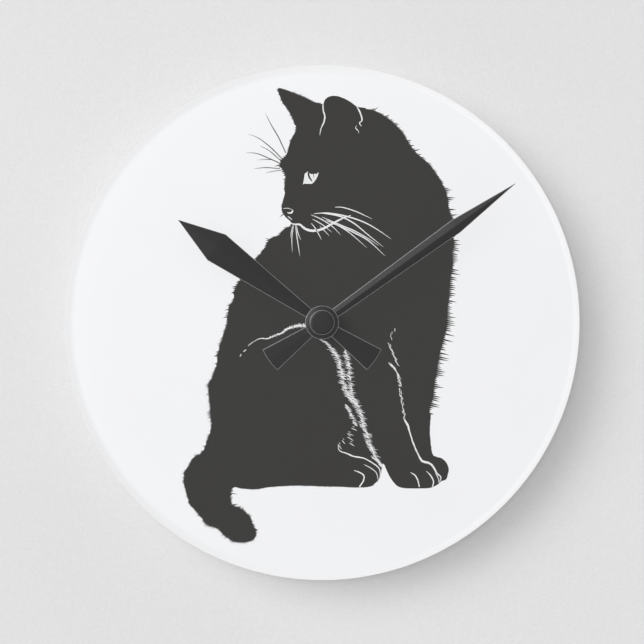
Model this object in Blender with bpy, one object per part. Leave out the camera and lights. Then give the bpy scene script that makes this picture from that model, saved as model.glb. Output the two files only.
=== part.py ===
"""Cat wall clock: a round printed acrylic dial on a quartz movement.

Frame: +Z up, the dial faces -Y, and the wall is the plane y = 0, where the
back of the movement rests.  The hands turn about the line x = z = 0, which
runs along Y.  A depth is a distance in front of the wall, so y = -depth.
Lengths are drawn in millimetres and each finished mesh is turned into
metres, with its origin on the axis it turns about.

Name endings: _R radius, _T thickness, _D depth or (back, front) depths,
_AT centre as (x, z).
"""
import math

import bmesh
import bpy
from mathutils import Matrix, Vector


def polar(radius, degrees, start=(0.0, 0.0)):
    angle = math.radians(degrees)
    return (start[0] + radius * math.cos(angle), start[1] + radius * math.sin(angle))


def in_front(layer, thickness):
    """Depths of the next layer in front of one, across a small gap."""
    back = layer[1] + LAYER_GAP
    return (back, back + thickness)


# ---------------------------------------------------------------- sizes (mm)
DIAL_R = 101.6
DIAL_T = 5.0
FILM_T = 0.2             # printed layers behind the sheet
SHAFT_HOLE_R = 4.3       # hole through everything the bushing clamps

CASE = 56.0              # side of the square movement case
CASE_T = 17.2
WALL = 1.2
INSIDE = CASE / 2 - WALL
BAY_TOP = -11.2          # top of the battery bay
CAVITY_LOW = -10.0       # bottom of the gear compartment
CORNERS = ((-24.5, 24.5), (24.5, 24.5), (-24.5, -1.0), (24.5, -1.0))

# Layers in front of the case
LAYER_GAP = 0.1
HANGER_D = (17.4, 18.2)
GASKET_D = in_front(HANGER_D, 1.0)
WHITE_D = in_front(GASKET_D, FILM_T)
PRINT_D = in_front(WHITE_D, FILM_T)
DIAL_D = in_front(PRINT_D, DIAL_T)
WASHER_D = in_front(DIAL_D, 0.6)
NUT_D = in_front(WASHER_D, 2.0)
BUSH_D = (15.0, 28.4)

# Gear teeth: addendum and dedendum in modules, share of the pitch filled by tooth
WHEEL_FORM = (0.8, 1.1, 0.46)
PINION_FORM = (0.7, 1.1, 0.40)

# Tooth counts
CENTRE_WHEEL = 64
THIRD_WHEEL, THIRD_PINION = 60, 8
SECONDS_WHEEL, SECONDS_PINION = 60, 8
FIFTH_WHEEL, FIFTH_PINION = 60, 10
ROTOR_PINION = 12
MINUTE_WHEEL, MINUTE_PINION = 36, 10
CANNON_PINION = 12
SETTING_PINION = 12
HOUR_WHEEL = 40

# Modules.  Centre and hour wheels share their shaft distance with another pair.
THIRD_MODULE = 0.30      # third wheel : seconds pinion
CENTRE_MODULE = (THIRD_MODULE * (THIRD_WHEEL + SECONDS_PINION)
                 / (CENTRE_WHEEL + THIRD_PINION))
SECONDS_MODULE = 0.30    # seconds wheel : fifth pinion
ROTOR_MODULE = 0.25      # fifth wheel : rotor pinion
MOTION_MODULE = 0.375    # minute wheel : cannon and setting pinions
HOUR_MODULE = (MOTION_MODULE * (MINUTE_WHEEL + CANNON_PINION)
               / (HOUR_WHEEL + MINUTE_PINION))

CENTRE = (0.0, 0.0)
THIRD_AT = polar(THIRD_MODULE * (THIRD_WHEEL + SECONDS_PINION) / 2, 125)
FIFTH_AT = polar(SECONDS_MODULE * (SECONDS_WHEEL + FIFTH_PINION) / 2, 25)
ROTOR_AT = polar(ROTOR_MODULE * (FIFTH_WHEEL + ROTOR_PINION) / 2, 75, FIFTH_AT)
MINUTE_WHEEL_AT = polar(MOTION_MODULE * (MINUTE_WHEEL + CANNON_PINION) / 2, 180)
SETTING_AT = polar(MOTION_MODULE * (MINUTE_WHEEL + SETTING_PINION) / 2, 150, MINUTE_WHEEL_AT)

# Pivots and their holes
PIVOT_R, PIVOT_HOLE_R = 0.30, 0.36
MOTION_PIVOT_R, MOTION_HOLE_R = 0.40, 0.46
STEM_HOLE_R = 0.95

# Step motor
STATOR_X = (2.0, 22.0)
LUG = 4.0                # width of the stator's lugs, screwed at their middles
SCREW_X = (STATOR_X[0] + LUG / 2, STATOR_X[1] - LUG / 2)
SCREW_HOLE_R = 0.95
COIL_Z = 21.8
COIL_D = 6.25

BOARD_Z = -6.7

# AA cell, lying along X
CELL_R = 7.25
CELL_LENGTH = 50.5
CELL_X = -26.0           # its left end
CELL_Z = -19.0
CELL_D = 8.4

for old in list(bpy.data.objects):
    bpy.data.objects.remove(old, do_unlink=True)


# ----------------------------------------------------------------- materials
def finish(name, rgb, rough, metal=0.0, alpha=1.0):
    material = bpy.data.materials.new(name)
    material.use_nodes = True
    inputs = material.node_tree.nodes["Principled BSDF"].inputs
    inputs["Base Color"].default_value = (*rgb, 1.0)
    inputs["Roughness"].default_value = rough
    inputs["Metallic"].default_value = metal
    inputs["Alpha"].default_value = alpha
    material.diffuse_color = (*rgb, alpha)
    return material


ACRYLIC = finish("clear_acrylic", rgb=(0.95, 0.96, 0.97), rough=0.05, alpha=0.35)
WHITE_INK = finish("white_ink", rgb=(0.88, 0.88, 0.89), rough=0.5)
BLACK_INK = finish("black_ink", rgb=(0.05, 0.05, 0.05), rough=0.5)
BLACK_METAL = finish("black_hands", rgb=(0.035, 0.035, 0.037), rough=0.35, metal=0.6)
BLACK_PLASTIC = finish("black_plastic", rgb=(0.02, 0.02, 0.02), rough=0.5)
WHITE_PLASTIC = finish("white_gear_plastic", rgb=(0.8, 0.8, 0.78), rough=0.45)
GREY_PLASTIC = finish("grey_plastic", rgb=(0.3, 0.3, 0.32), rough=0.5)
BRASS = finish("brass", rgb=(0.78, 0.57, 0.24), rough=0.3, metal=1.0)
STEEL = finish("steel", rgb=(0.62, 0.62, 0.63), rough=0.3, metal=1.0)
MAGNET = finish("magnet", rgb=(0.12, 0.12, 0.13), rough=0.4, metal=0.5)
COPPER = finish("copper_wire", rgb=(0.72, 0.33, 0.16), rough=0.35, metal=1.0)
BOARD = finish("circuit_board", rgb=(0.05, 0.25, 0.1), rough=0.5)
RUBBER = finish("rubber", rgb=(0.03, 0.03, 0.03), rough=0.85)
JACKET = finish("battery_jacket", rgb=(0.1, 0.22, 0.4), rough=0.35)


# ------------------------------------------------------------------ outlines
def circle(radius, count, at=CENTRE, start=0.0):
    return [polar(radius, start + 360.0 * k / count, at) for k in range(count)]


def rectangle(x0, x1, z0, z1, corner=0.0, steps=4):
    if corner <= 0:
        return [(x0, z0), (x1, z0), (x1, z1), (x0, z1)]
    points = []
    for x, z, start in ((x1 - corner, z0 + corner, -90), (x1 - corner, z1 - corner, 0),
                        (x0 + corner, z1 - corner, 90), (x0 + corner, z0 + corner, 180)):
        points += [polar(corner, start + 90.0 * k / steps, (x, z)) for k in range(steps + 1)]
    return points


def spline(points, between):
    """Closed Catmull-Rom curve, with this many steps from point to point."""
    count = len(points)
    curve = []
    for i in range(count):
        span = [points[(i + k) % count] for k in (-1, 0, 1, 2)]
        for step in range(between):
            t = step / between
            curve.append(tuple(
                0.5 * (2 * b + (c - a) * t + (2 * a - 5 * b + 4 * c - e) * t * t
                       + (3 * b - a - 3 * c + e) * t ** 3)
                for a, b, c, e in zip(*span)))
    return curve


def mirrored(side, near, far):
    """Low and high x of a span on the left (side -1) or the right (side 1)."""
    return sorted((side * near, side * far))


# -------------------------------------------------------------- solid makers
def point(x, depth, z):
    return Vector((x, -depth, z))


def from_front(x, z, depth):
    return point(x, depth, z)


def from_side(z, depth, x):
    return point(x, depth, z)


def working_object(name, draft):
    """An object still in millimetres about the clock's own origin."""
    bmesh.ops.recalc_face_normals(draft, faces=draft.faces[:])
    mesh = bpy.data.meshes.new(name)
    draft.to_mesh(mesh)
    draft.free()
    piece = bpy.data.objects.new(name, mesh)
    bpy.context.scene.collection.objects.link(piece)
    return piece


def plate(name, outline, start, end, holes=(), lay=from_front):
    """A flat outline pushed from start to end, with through holes.

    lay turns the two drawn coordinates and the push distance into a point.
    """
    draft = bmesh.new()
    edges = []
    for loop in (outline, *holes):
        verts = [draft.verts.new(lay(*drawn, start)) for drawn in loop]
        edges += [draft.edges.new((verts[i - 1], verts[i])) for i in range(len(verts))]
    normal = lay(0, 0, 1) - lay(0, 0, 0)
    bmesh.ops.triangle_fill(draft, use_beauty=True, edges=edges, normal=normal)
    grown = bmesh.ops.extrude_face_region(draft, geom=draft.faces[:])
    moved = [item for item in grown["geom"] if isinstance(item, bmesh.types.BMVert)]
    bmesh.ops.translate(draft, verts=moved, vec=normal * (end - start))
    return working_object(name, draft)


def block(name, x, depths, z):
    return plate(name, rectangle(*x, *z), *depths)


def lathe(name, profile, segments, at=CENTRE, along_x=False):
    """Turn a profile of (radius, position) about an axis along Y or X.

    at is the axis's (x, z), or its (z, depth) when it runs along X.
    A profile that starts and ends on the axis is left open there.
    """
    draft = bmesh.new()
    if along_x:
        verts = [draft.verts.new(point(x, at[1], at[0] + radius)) for radius, x in profile]
        centre = point(0, at[1], at[0])
        axis = (1, 0, 0)
    else:
        verts = [draft.verts.new(point(at[0] + radius, depth, at[1]))
                 for radius, depth in profile]
        centre = point(at[0], 0, at[1])
        axis = (0, 1, 0)
    pairs = list(zip(verts, verts[1:]))
    if profile[0][0] != 0 or profile[-1][0] != 0:
        pairs.append((verts[-1], verts[0]))
    edges = [draft.edges.new(pair) for pair in pairs]
    bmesh.ops.spin(draft, geom=verts + edges, cent=centre, axis=axis, dvec=(0, 0, 0),
                   angle=2 * math.pi, steps=segments, use_merge=True)
    bmesh.ops.remove_doubles(draft, verts=draft.verts[:], dist=1e-4)
    return working_object(name, draft)


def tube(name, inner, outer, back, front, segments, at=CENTRE, soft=0.0):
    """A ring, with its outer edges broken by soft."""
    if soft:
        rim = [(outer - soft, back), (outer, back + soft),
               (outer, front - soft), (outer - soft, front)]
    else:
        rim = [(outer, back), (outer, front)]
    return lathe(name, [(inner, back), *rim, (inner, front)], segments, at)


def arbor(name, steps, segments, at):
    """A stepped solid rod: steps of (radius, back, front) along its axis."""
    profile = [(0, steps[0][1])]
    for radius, back, front in steps:
        profile += [(radius, back), (radius, front)]
    profile.append((0, steps[-1][2]))
    return lathe(name, profile, segments, at)


def rod(name, radius, back, front, segments, at=CENTRE):
    return arbor(name, [(radius, back, front)], segments, at)


def skin(name, draft, rings):
    """Join equal rings of vertices into a solid with closed ends."""
    for ring, following in zip(rings, rings[1:]):
        count = len(ring)
        for k in range(count):
            after = (k + 1) % count
            draft.faces.new((ring[k], ring[after], following[after], following[k]))
    draft.faces.new(rings[0])
    draft.faces.new(rings[-1])
    return working_object(name, draft)


def wire(name, path, radius, sides):
    """A round wire along a path of (x, depth, z) points."""
    points = [point(*place_on_path) for place_on_path in path]
    draft = bmesh.new()
    rings = []
    up = Vector((0, 1, 0.15)).normalized()
    for i, centre in enumerate(points):
        ahead = (points[min(i + 1, len(points) - 1)] - points[max(i - 1, 0)]).normalized()
        across = ahead.cross(up).normalized()
        up = across.cross(ahead).normalized()
        angles = [2 * math.pi * k / sides for k in range(sides)]
        rings.append([draft.verts.new(centre + radius * (math.cos(angle) * across
                                                         + math.sin(angle) * up))
                      for angle in angles])
    return skin(name, draft, rings)


def combine(piece, tools, operation):
    """Boolean each tool into the piece with the exact solver, and use it up."""
    for tool in tools:
        modifier = piece.modifiers.new(operation, "BOOLEAN")
        modifier.operation = operation
        modifier.solver = "EXACT"
        modifier.object = tool
        bpy.context.view_layer.update()
        shape = bpy.data.meshes.new_from_object(
            piece.evaluated_get(bpy.context.evaluated_depsgraph_get()))
        piece.modifiers.clear()
        piece.data = shape
        bpy.data.objects.remove(tool, do_unlink=True)


def join(piece, *tools):
    combine(piece, tools, "UNION")


def cut(piece, *tools):
    combine(piece, tools, "DIFFERENCE")


def place(piece, material, axis=CENTRE, turn=0.0, sharp=32.0):
    """Metres, origin on the turning axis, smooth shading, one material."""
    mesh = piece.data
    mesh.transform(Matrix.Translation((-axis[0], 0, -axis[1])))
    mesh.transform(Matrix.Scale(0.001, 4))
    mesh.shade_smooth()
    mesh.set_sharp_from_angle(angle=math.radians(sharp))
    mesh.materials.clear()
    mesh.materials.append(material)
    mesh.name = piece.name
    piece.location = (axis[0] * 0.001, 0, axis[1] * 0.001)
    piece.rotation_euler = (0, math.radians(turn), 0)


# --------------------------------------------------------------------- gears
PRESSURE_ANGLE = math.radians(20)


def involute(angle):
    return math.tan(angle) - angle


def gear_outline(teeth, module, form, phase, at):
    """Straight-sided teeth whose widths at root and tip follow an involute."""
    addendum, dedendum, share = form
    pitch_r = module * teeth / 2
    base_r = pitch_r * math.cos(PRESSURE_ANGLE)
    root = pitch_r - dedendum * module
    tip = pitch_r + addendum * module
    half = share * math.pi / teeth
    widest = half + involute(PRESSURE_ANGLE)

    def half_angle(radius):
        if radius <= base_r:
            return widest
        return max(widest - involute(math.acos(base_r / radius)), 0.02 * half)

    points = []
    for i in range(teeth):
        middle = phase + 2 * math.pi * i / teeth
        for side, radius in ((-1, root), (-1, tip), (1, tip), (1, root)):
            angle = middle + side * half_angle(radius)
            points.append((at[0] + radius * math.cos(angle), at[1] + radius * math.sin(angle)))
    return points


def wheel(name, teeth, module, back, front, at=CENTRE, holes=()):
    outline = gear_outline(teeth, module, WHEEL_FORM, 0.0, at)
    return plate(name, outline, back, front, holes)


def pinion(name, teeth, module, back, front, at, mate_teeth, mate_at, holes=()):
    """A pinion turned so that a gap meets a tooth of its mate, a wheel at phase 0."""
    toward = math.atan2(at[1] - mate_at[1], at[0] - mate_at[0])
    mate_pitch = 2 * math.pi / mate_teeth
    pitch = 2 * math.pi / teeth
    offset = (-toward / mate_pitch) % 1.0
    phase = toward + math.pi - offset * pitch + pitch / 2
    outline = gear_outline(teeth, module, PINION_FORM, phase, at)
    return plate(name, outline, back, front, holes)


# --------------------------------------------------------------- dial layers
def acrylic_face():
    round_width, round_depth = 3.6, 3.0      # polished round on the front edge
    chamfer = 0.5                            # on the back edge
    steps = 4
    back, front = DIAL_D
    profile = [(SHAFT_HOLE_R, back), (DIAL_R - chamfer, back), (DIAL_R, back + chamfer)]
    for k in range(steps + 1):
        angle = math.radians(90.0 * k / steps)
        profile.append((DIAL_R - round_width * (1 - math.cos(angle)),
                        front - round_depth * (1 - math.sin(angle))))
    profile.append((SHAFT_HOLE_R, front))
    place(lathe("acrylic_face", profile, 80), ACRYLIC, sharp=40)


def white_backing():
    place(tube("white_backing", SHAFT_HOLE_R, DIAL_R - 0.6, *WHITE_D, 64), WHITE_INK)


# Outline of the sitting cat, clockwise from the tip of its left ear as seen
# from the front: (x, z) from the hand axis.
CAT_EARS = [(-17, 92.5), (-8.5, 89.5), (-0.5, 86.5), (0.5, 85), (3, 89), (6, 89.5),
            (9.5, 88), (13, 85.5)]
CAT_BACK = [(17.5, 84.5), (23.5, 82.5), (29, 78.5), (34, 72), (39, 65.5), (45, 59.5),
            (49.5, 52), (50.5, 44.5), (52, 34), (52, 23), (51, 10), (50, 1.5),
            (48.5, -7.5), (46, -21.5), (45, -29), (43, -34.5), (42.5, -43.5), (44, -52.5)]
CAT_FRONT_PAW = [(47, -53.5), (50, -57.5), (49, -62), (45.5, -64), (38.5, -65.5),
                 (31, -65), (27, -61), (24.5, -55.5)]
CAT_HIND_PAW = [(23, -61), (18.5, -64.5), (8.5, -65), (-8.5, -64.5), (-26, -65.5),
                (-35, -65)]
CAT_TAIL = [(-35.5, -67.5), (-35, -72), (-31.5, -74.5), (-28, -77.5), (-26.5, -83),
            (-26.5, -85), (-30, -86.5), (-35, -86), (-39.5, -83.5), (-47, -79),
            (-50.5, -73.5), (-53, -68.5), (-55, -62.5), (-54.5, -58.5), (-50, -52.5)]
CAT_HAUNCH = [(-45.5, -47.5), (-43.5, -38.5), (-45, -28.5), (-43.5, -20.5), (-40, -10),
              (-38.5, -1.5), (-35.5, 9.5), (-32, 16.5), (-26.5, 25), (-20, 33)]
CAT_FACE = [(-13, 38), (-13, 40.5), (-16, 45.5), (-14.5, 51), (-15, 58), (-17, 62),
            (-14, 66.5), (-12.5, 72), (-10.5, 77), (-11.5, 80), (-16, 87)]
CAT = CAT_EARS + CAT_BACK + CAT_FRONT_PAW + CAT_HIND_PAW + CAT_TAIL + CAT_HAUNCH + CAT_FACE


def cat_print():
    hole = circle(SHAFT_HOLE_R, 24)
    place(plate("cat_print", spline(CAT, 2), *PRINT_D, [hole]), BLACK_INK)


def dial_gasket():
    place(tube("dial_gasket", SHAFT_HOLE_R, 9.0, *GASKET_D, 32), RUBBER)


# ----------------------------------------------------- fixing through the dial
def keyhole():
    """A round opening with a narrow slot above; the slot starts on the round."""
    head_r, head_z = 4.0, 37.0
    slot_r, slot_z = 1.8, 43.0
    steps = 18
    start = math.degrees(math.acos(slot_r / head_r))
    turn = 360.0 - 2 * (90.0 - start)
    outline = [polar(head_r, start - turn * k / steps, (0, head_z)) for k in range(steps + 1)]
    outline += [polar(slot_r, 180 - 180.0 * k / 8, (0, slot_z)) for k in range(9)]
    return plate("keyhole", outline, 0.0, 6.0)


def wall_hanger():
    """Steel strap clamped behind the dial, jogged back to the wall above the case."""
    half_width = 9.0
    back, front = HANGER_D
    low, knee, top = -12.0, 29.6, 48.0
    jog_top = knee + 2.5
    shift = 0.7                              # keeps the jog's thickness
    wall_back = 2.0
    wall_front = wall_back + front - back
    side = [(low, back), (knee, back), (jog_top, wall_back), (top, wall_back),
            (top, wall_front), (jog_top + shift, wall_front), (knee + shift, front),
            (low, front)]
    strap = plate("wall_hanger", side, -half_width, half_width, lay=from_side)
    cut(strap, rod("shaft_cut", SHAFT_HOLE_R, 16.0, 20.0, 24), keyhole())
    place(strap, STEEL)


def threaded_bushing():
    """Flanged brass bushing; the free end of its thread is cut as ridges."""
    bore, flange_r, flange_front = 2.9, 5.2, 15.9
    crest, plain, groove = 4.0, 4.0 - 0.2, 4.0 - 0.3
    pitch = 0.7
    depth = 24.9                             # start of the ridges
    back, front = BUSH_D
    profile = [(bore, back), (flange_r, back), (flange_r, flange_front),
               (plain, flange_front), (plain, depth)]
    while depth + pitch < front:
        profile += [(crest, depth + pitch / 2), (groove, depth + pitch)]
        depth += pitch
    profile += [(groove, front), (bore, front)]
    place(lathe("threaded_bushing", profile, 20), BRASS, sharp=25)


def dial_washer():
    place(tube("dial_washer", 4.2, 6.3, *WASHER_D, 32), BRASS)


def hex_nut():
    across_flats = 11.0
    outline = circle(across_flats / 2 / math.cos(math.pi / 6), 6, start=30)
    place(plate("hex_nut", outline, *NUT_D, [circle(4.15, 20)]), BRASS)


# --------------------------------------------------------------------- hands
HOUR_TURN, MINUTE_TURN = -54.5, 54.3         # degrees clockwise from twelve
TAIL_LENGTH = 25.6
TAIL_HALF = 4.95                             # half width of the fan tail
TAIL_WAIST = 2.15                            # half width where the tail meets the hub
BLADE_EDGE = 0.3                             # thickness along the edges


def hand_blade(name, length, shoulder, waist, wide, back, slope):
    """A blade along +Z with a flat back, a centre ridge in front and a fan tail.

    shoulder is the distance of the widest place; waist and wide are half
    widths.  The ridge stands slope times the half width above the edges.
    """
    corner = math.degrees(math.asin(TAIL_HALF / TAIL_LENGTH))
    stations = []                            # (distance from the axis, half width)
    for share in (0.06, 0.4, 0.72, 1.0):     # round end of the tail
        angle = math.radians(corner * share)
        stations.append((-TAIL_LENGTH * math.cos(angle),
                         max(TAIL_LENGTH * math.sin(angle), 0.3)))
    stations += [(-5.0, TAIL_WAIST), (5.0, waist), (shoulder, wide), (length, 0.12)]

    draft = bmesh.new()
    front = back + BLADE_EDGE
    rings = [[draft.verts.new(point(*corner_at)) for corner_at in (
        (-half, back, z), (-half, front, z), (0, front + slope * half, z),
        (half, front, z), (half, back, z))] for z, half in stations]
    return skin(name, draft, rings)


def hour_hand():
    hand = hand_blade("hour_hand", length=69.3, shoulder=51.0, waist=1.8, wide=6.2,
                      back=29.1, slope=0.08)
    join(hand, tube("hub", 2.0, 6.0, 28.9, 29.95, 32, soft=0.12))
    cut(hand, rod("bore", 3.4, 28.0, 31.0, 20))
    place(hand, BLACK_METAL, turn=HOUR_TURN, sharp=3)
    place(tube("hour_collet", 2.6, 3.3, 28.7, 30.3, 20), BRASS)


def minute_hand():
    hand = hand_blade("minute_hand", length=93.3, shoulder=64.8, waist=1.9, wide=2.95,
                      back=31.45, slope=0.18)
    join(hand, tube("hub", 1.0, 6.6, 31.2, 32.35, 40, soft=0.15))
    cut(hand, rod("bore", 2.7, 30.0, 33.5, 20))
    place(hand, BLACK_METAL, turn=MINUTE_TURN, sharp=3)
    place(tube("minute_collet", 1.7, 2.6, 30.9, 32.3, 20), BRASS)


def cap_nut():
    """Domed cap, hollow behind; profile of (radius, depth)."""
    cap_r = 4.87
    profile = [(0, 34.6), (3.9, 34.6), (4.5, 34.4), (cap_r, 33.9), (cap_r, 32.5),
               (1.75, 32.5), (1.75, 33.8), (0, 33.8)]
    place(lathe("cap_nut", profile, 32), BLACK_METAL)


# ---------------------------------------------------------------------- case
def case_shell():
    """Deep shell: gear compartment above, open battery bay below."""
    half = CASE / 2
    floor = CASE_T - WALL
    shell = plate("case_shell", rectangle(-half, half, -half, half, 3.0), 0.0, CASE_T)
    cut(shell,
        plate("gear_space", rectangle(-INSIDE, INSIDE, CAVITY_LOW, INSIDE, 1.5), -1.0, floor),
        plate("bay_space", rectangle(-INSIDE, INSIDE, -INSIDE, BAY_TOP, 1.0), -1.0, floor))
    join(shell, *[rod("post", 1.6, 10.95, CASE_T - WALL / 2, 12, at) for at in CORNERS])
    cut(shell,
        rod("bush_cut", 4.15, 12.0, 20.0, 24),
        *[rod("pivot_cut", MOTION_HOLE_R, 15.0, 16.8, 12, at)
          for at in (MINUTE_WHEEL_AT, SETTING_AT)],
        # passages for the battery contacts
        *[block("strip_cut", mirrored(side, 25.9, INSIDE + 0.05), (3.0, 8.4), (-12.6, -8.6))
          for side in (-1, 1)],
        # thumb notch in the bottom wall, to lift the cell out
        rod("thumb_cut", 6.0, -6.0, 2.4, 24, (0.0, -30.5)))
    place(shell, BLACK_PLASTIC)


def compartment_outline(clearance):
    """The gear compartment's outline, drawn in by a clearance."""
    half = INSIDE - clearance
    return rectangle(-half, half, CAVITY_LOW + clearance, half, 1.3)


def rear_cover():
    """Back of the gear compartment, with a sunk cup for the setting knob."""
    cover = plate("rear_cover", compartment_outline(0.2), 0.0, 1.5)
    screws = [(x, COIL_Z) for x in SCREW_X]
    join(cover, rod("cup", 7.2, 0.4, 4.8, 30, SETTING_AT),
         *[rod("post", 1.4, 0.8, 9.5, 12, at) for at in CORNERS],
         *[rod("motor_post", 1.8, 0.8, 4.5, 12, at) for at in screws],
         *[rod("board_post", 1.0, 0.8, 2.3, 10, (x, BOARD_Z)) for x in (-18.0, 18.0)])
    cut(cover, rod("well", 6.4, -1.0, 4.0, 30, SETTING_AT),
        rod("stem_hole", STEM_HOLE_R, 3.0, 6.0, 16, SETTING_AT),
        *[rod("pivot_hole", PIVOT_HOLE_R, 0.7, 2.0, 10, at)
          for at in (CENTRE, THIRD_AT, FIFTH_AT, ROTOR_AT)],
        *[rod("screw_hole", 0.9, 2.4, 6.0, 12, at) for at in screws])
    place(cover, BLACK_PLASTIC)


def gear_plate():
    holes = [circle(2.2, 24), circle(STEM_HOLE_R, 16, SETTING_AT),
             circle(MOTION_HOLE_R, 12, MINUTE_WHEEL_AT)]
    holes += [circle(PIVOT_HOLE_R, 10, at) for at in (THIRD_AT, FIFTH_AT, ROTOR_AT)]
    place(plate("gear_plate", compartment_outline(0.3), 9.6, 10.8, holes), WHITE_PLASTIC)


# ---------------------------------------------------------------- going train
REAR_PIVOT = (PIVOT_R, 0.8, 1.6)             # (radius, back, front)


def train_arbor(at):
    """An arbor pivoted in the rear cover and the gear plate."""
    return arbor("arbor", [REAR_PIVOT, (0.5, 1.6, 9.5), (PIVOT_R, 9.5, 10.5)], 12, at)


def seconds_wheel():
    seconds = wheel("seconds_wheel", SECONDS_WHEEL, SECONDS_MODULE, 4.4, 5.3)
    join(seconds,
         pinion("pinion", SECONDS_PINION, THIRD_MODULE, 5.0, 7.2, CENTRE,
                THIRD_WHEEL, THIRD_AT),
         arbor("arbor", [REAR_PIVOT, (0.5, 1.6, 30.0)], 12, CENTRE))
    place(seconds, WHITE_PLASTIC)


def third_wheel():
    third = wheel("third_wheel", THIRD_WHEEL, THIRD_MODULE, 6.0, 6.9, THIRD_AT)
    join(third,
         pinion("pinion", THIRD_PINION, CENTRE_MODULE, 6.6, 9.4, THIRD_AT,
                CENTRE_WHEEL, CENTRE),
         train_arbor(THIRD_AT))
    place(third, WHITE_PLASTIC, THIRD_AT)


def centre_wheel():
    place(wheel("centre_wheel", CENTRE_WHEEL, CENTRE_MODULE, 8.2, 9.2,
                holes=[circle(1.7, 24)]), WHITE_PLASTIC)


def fifth_wheel():
    fifth = wheel("fifth_wheel", FIFTH_WHEEL, ROTOR_MODULE, 2.9, 3.8, FIFTH_AT)
    join(fifth,
         pinion("pinion", FIFTH_PINION, SECONDS_MODULE, 3.5, 5.5, FIFTH_AT,
                SECONDS_WHEEL, CENTRE),
         train_arbor(FIFTH_AT))
    place(fifth, WHITE_PLASTIC, FIFTH_AT)


def rotor():
    teeth = pinion("rotor_pinion", ROTOR_PINION, ROTOR_MODULE, 2.7, 4.0, ROTOR_AT,
                   FIFTH_WHEEL, FIFTH_AT)
    join(teeth, train_arbor(ROTOR_AT))
    place(teeth, WHITE_PLASTIC, ROTOR_AT)
    place(tube("rotor_magnet", 0.6, 3.0, 4.3, 6.1, 24, ROTOR_AT), MAGNET, ROTOR_AT)


# ---------------------------------------------------------------- motion work
CANNON_D = (11.3, 12.7)                      # cannon and setting pinions


def minute_arbor():
    """Flanged tube with the cannon pinion; profile of (radius, depth)."""
    minute = lathe("minute_arbor", [(0.8, 7.5), (2.4, 7.5), (2.4, 7.75), (1.6, 7.75),
                                    (1.6, 33.4), (0.8, 33.4)], 20)
    join(minute, pinion("cannon", CANNON_PINION, MOTION_MODULE, *CANNON_D, CENTRE,
                        MINUTE_WHEEL, MINUTE_WHEEL_AT, [circle(1.2, 16)]))
    place(minute, BRASS)


def friction_spring():
    """Three sprung tongues; they slip on the centre wheel when the hands are set."""
    tongue = ((-14, 4.4), (0, 4.7), (14, 4.4), (30, 2.7), (90, 2.7))     # (degrees, radius)
    star = [polar(radius, 120 * k + angle) for k in range(3) for angle, radius in tongue]
    place(plate("friction_spring", star, 7.82, 8.1, [circle(1.75, 24)]), STEEL)


def hour_wheel():
    hour = tube("hour_wheel", 1.9, 2.5, 13.5, 30.4, 20)
    join(hour, wheel("teeth", HOUR_WHEEL, HOUR_MODULE, 13.4, 14.4, holes=[circle(2.2, 20)]))
    place(hour, WHITE_PLASTIC)


def minute_wheel():
    minute = wheel("minute_wheel", MINUTE_WHEEL, MOTION_MODULE, 11.5, 12.5, MINUTE_WHEEL_AT)
    join(minute,
         pinion("pinion", MINUTE_PINION, HOUR_MODULE, 12.2, 14.7, MINUTE_WHEEL_AT,
                HOUR_WHEEL, CENTRE),
         arbor("arbor", [(MOTION_PIVOT_R, 9.8, 10.95), (0.7, 10.95, 15.85),
                         (MOTION_PIVOT_R, 15.85, 16.6)], 12, MINUTE_WHEEL_AT))
    place(minute, WHITE_PLASTIC, MINUTE_WHEEL_AT)


def setting_pinion():
    setting = pinion("setting_pinion", SETTING_PINION, MOTION_MODULE, *CANNON_D, SETTING_AT,
                     MINUTE_WHEEL, MINUTE_WHEEL_AT)
    join(setting, arbor("stem", [(0.8, 1.8, 15.8), (MOTION_PIVOT_R, 15.8, 16.6)], 16,
                        SETTING_AT))
    place(setting, WHITE_PLASTIC, SETTING_AT)


def setting_knob():
    """Thumb knob with a scalloped rim, blind-bored for the stem."""
    crest, valley = 6.0, 5.6
    rim = []
    for k in range(24):
        rim += [polar(radius, 15 * k + angle, SETTING_AT)
                for radius, angle in ((crest, -3), (crest, 3), (valley, 7.5))]
    knob = plate("setting_knob", rim, 0.5, 3.3)
    cut(knob, rod("bore", 0.9, 1.6, 4.0, 16, SETTING_AT),
        tube("dish", 1.8, 4.6, -1.0, 0.9, 20, SETTING_AT))
    place(knob, BLACK_PLASTIC, SETTING_AT)


# ----------------------------------------------------------------- step motor
def screw_holes():
    return [circle(SCREW_HOLE_R, 10, (x, COIL_Z)) for x in SCREW_X]


def stator():
    """A flat bar round the rotor with a lug up to each end of the core."""
    left, right = STATOR_X
    top = 24.2
    bar_low, bar_high = ROTOR_AT[1] - 5.2, ROTOR_AT[1] + 5.2
    outline = [(left, bar_low + 2), (left + 4.5, bar_low), (right - 2, bar_low),
               (right, bar_low + 2), (right, top - 1), (right - 1, top), (right - LUG, top),
               (right - LUG, bar_high), (left + LUG, bar_high), (left + LUG, top),
               (left + 1, top), (left, top - 1)]
    # Two small notches in the rotor hole set the rotor's rest position.
    hole = [polar(3.5 + (0.35 if k in (3, 21) else 0.0), 10 * k, ROTOR_AT) for k in range(36)]
    place(plate("stator", outline, 4.6, 5.6, [hole] + screw_holes()), STEEL)


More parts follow.
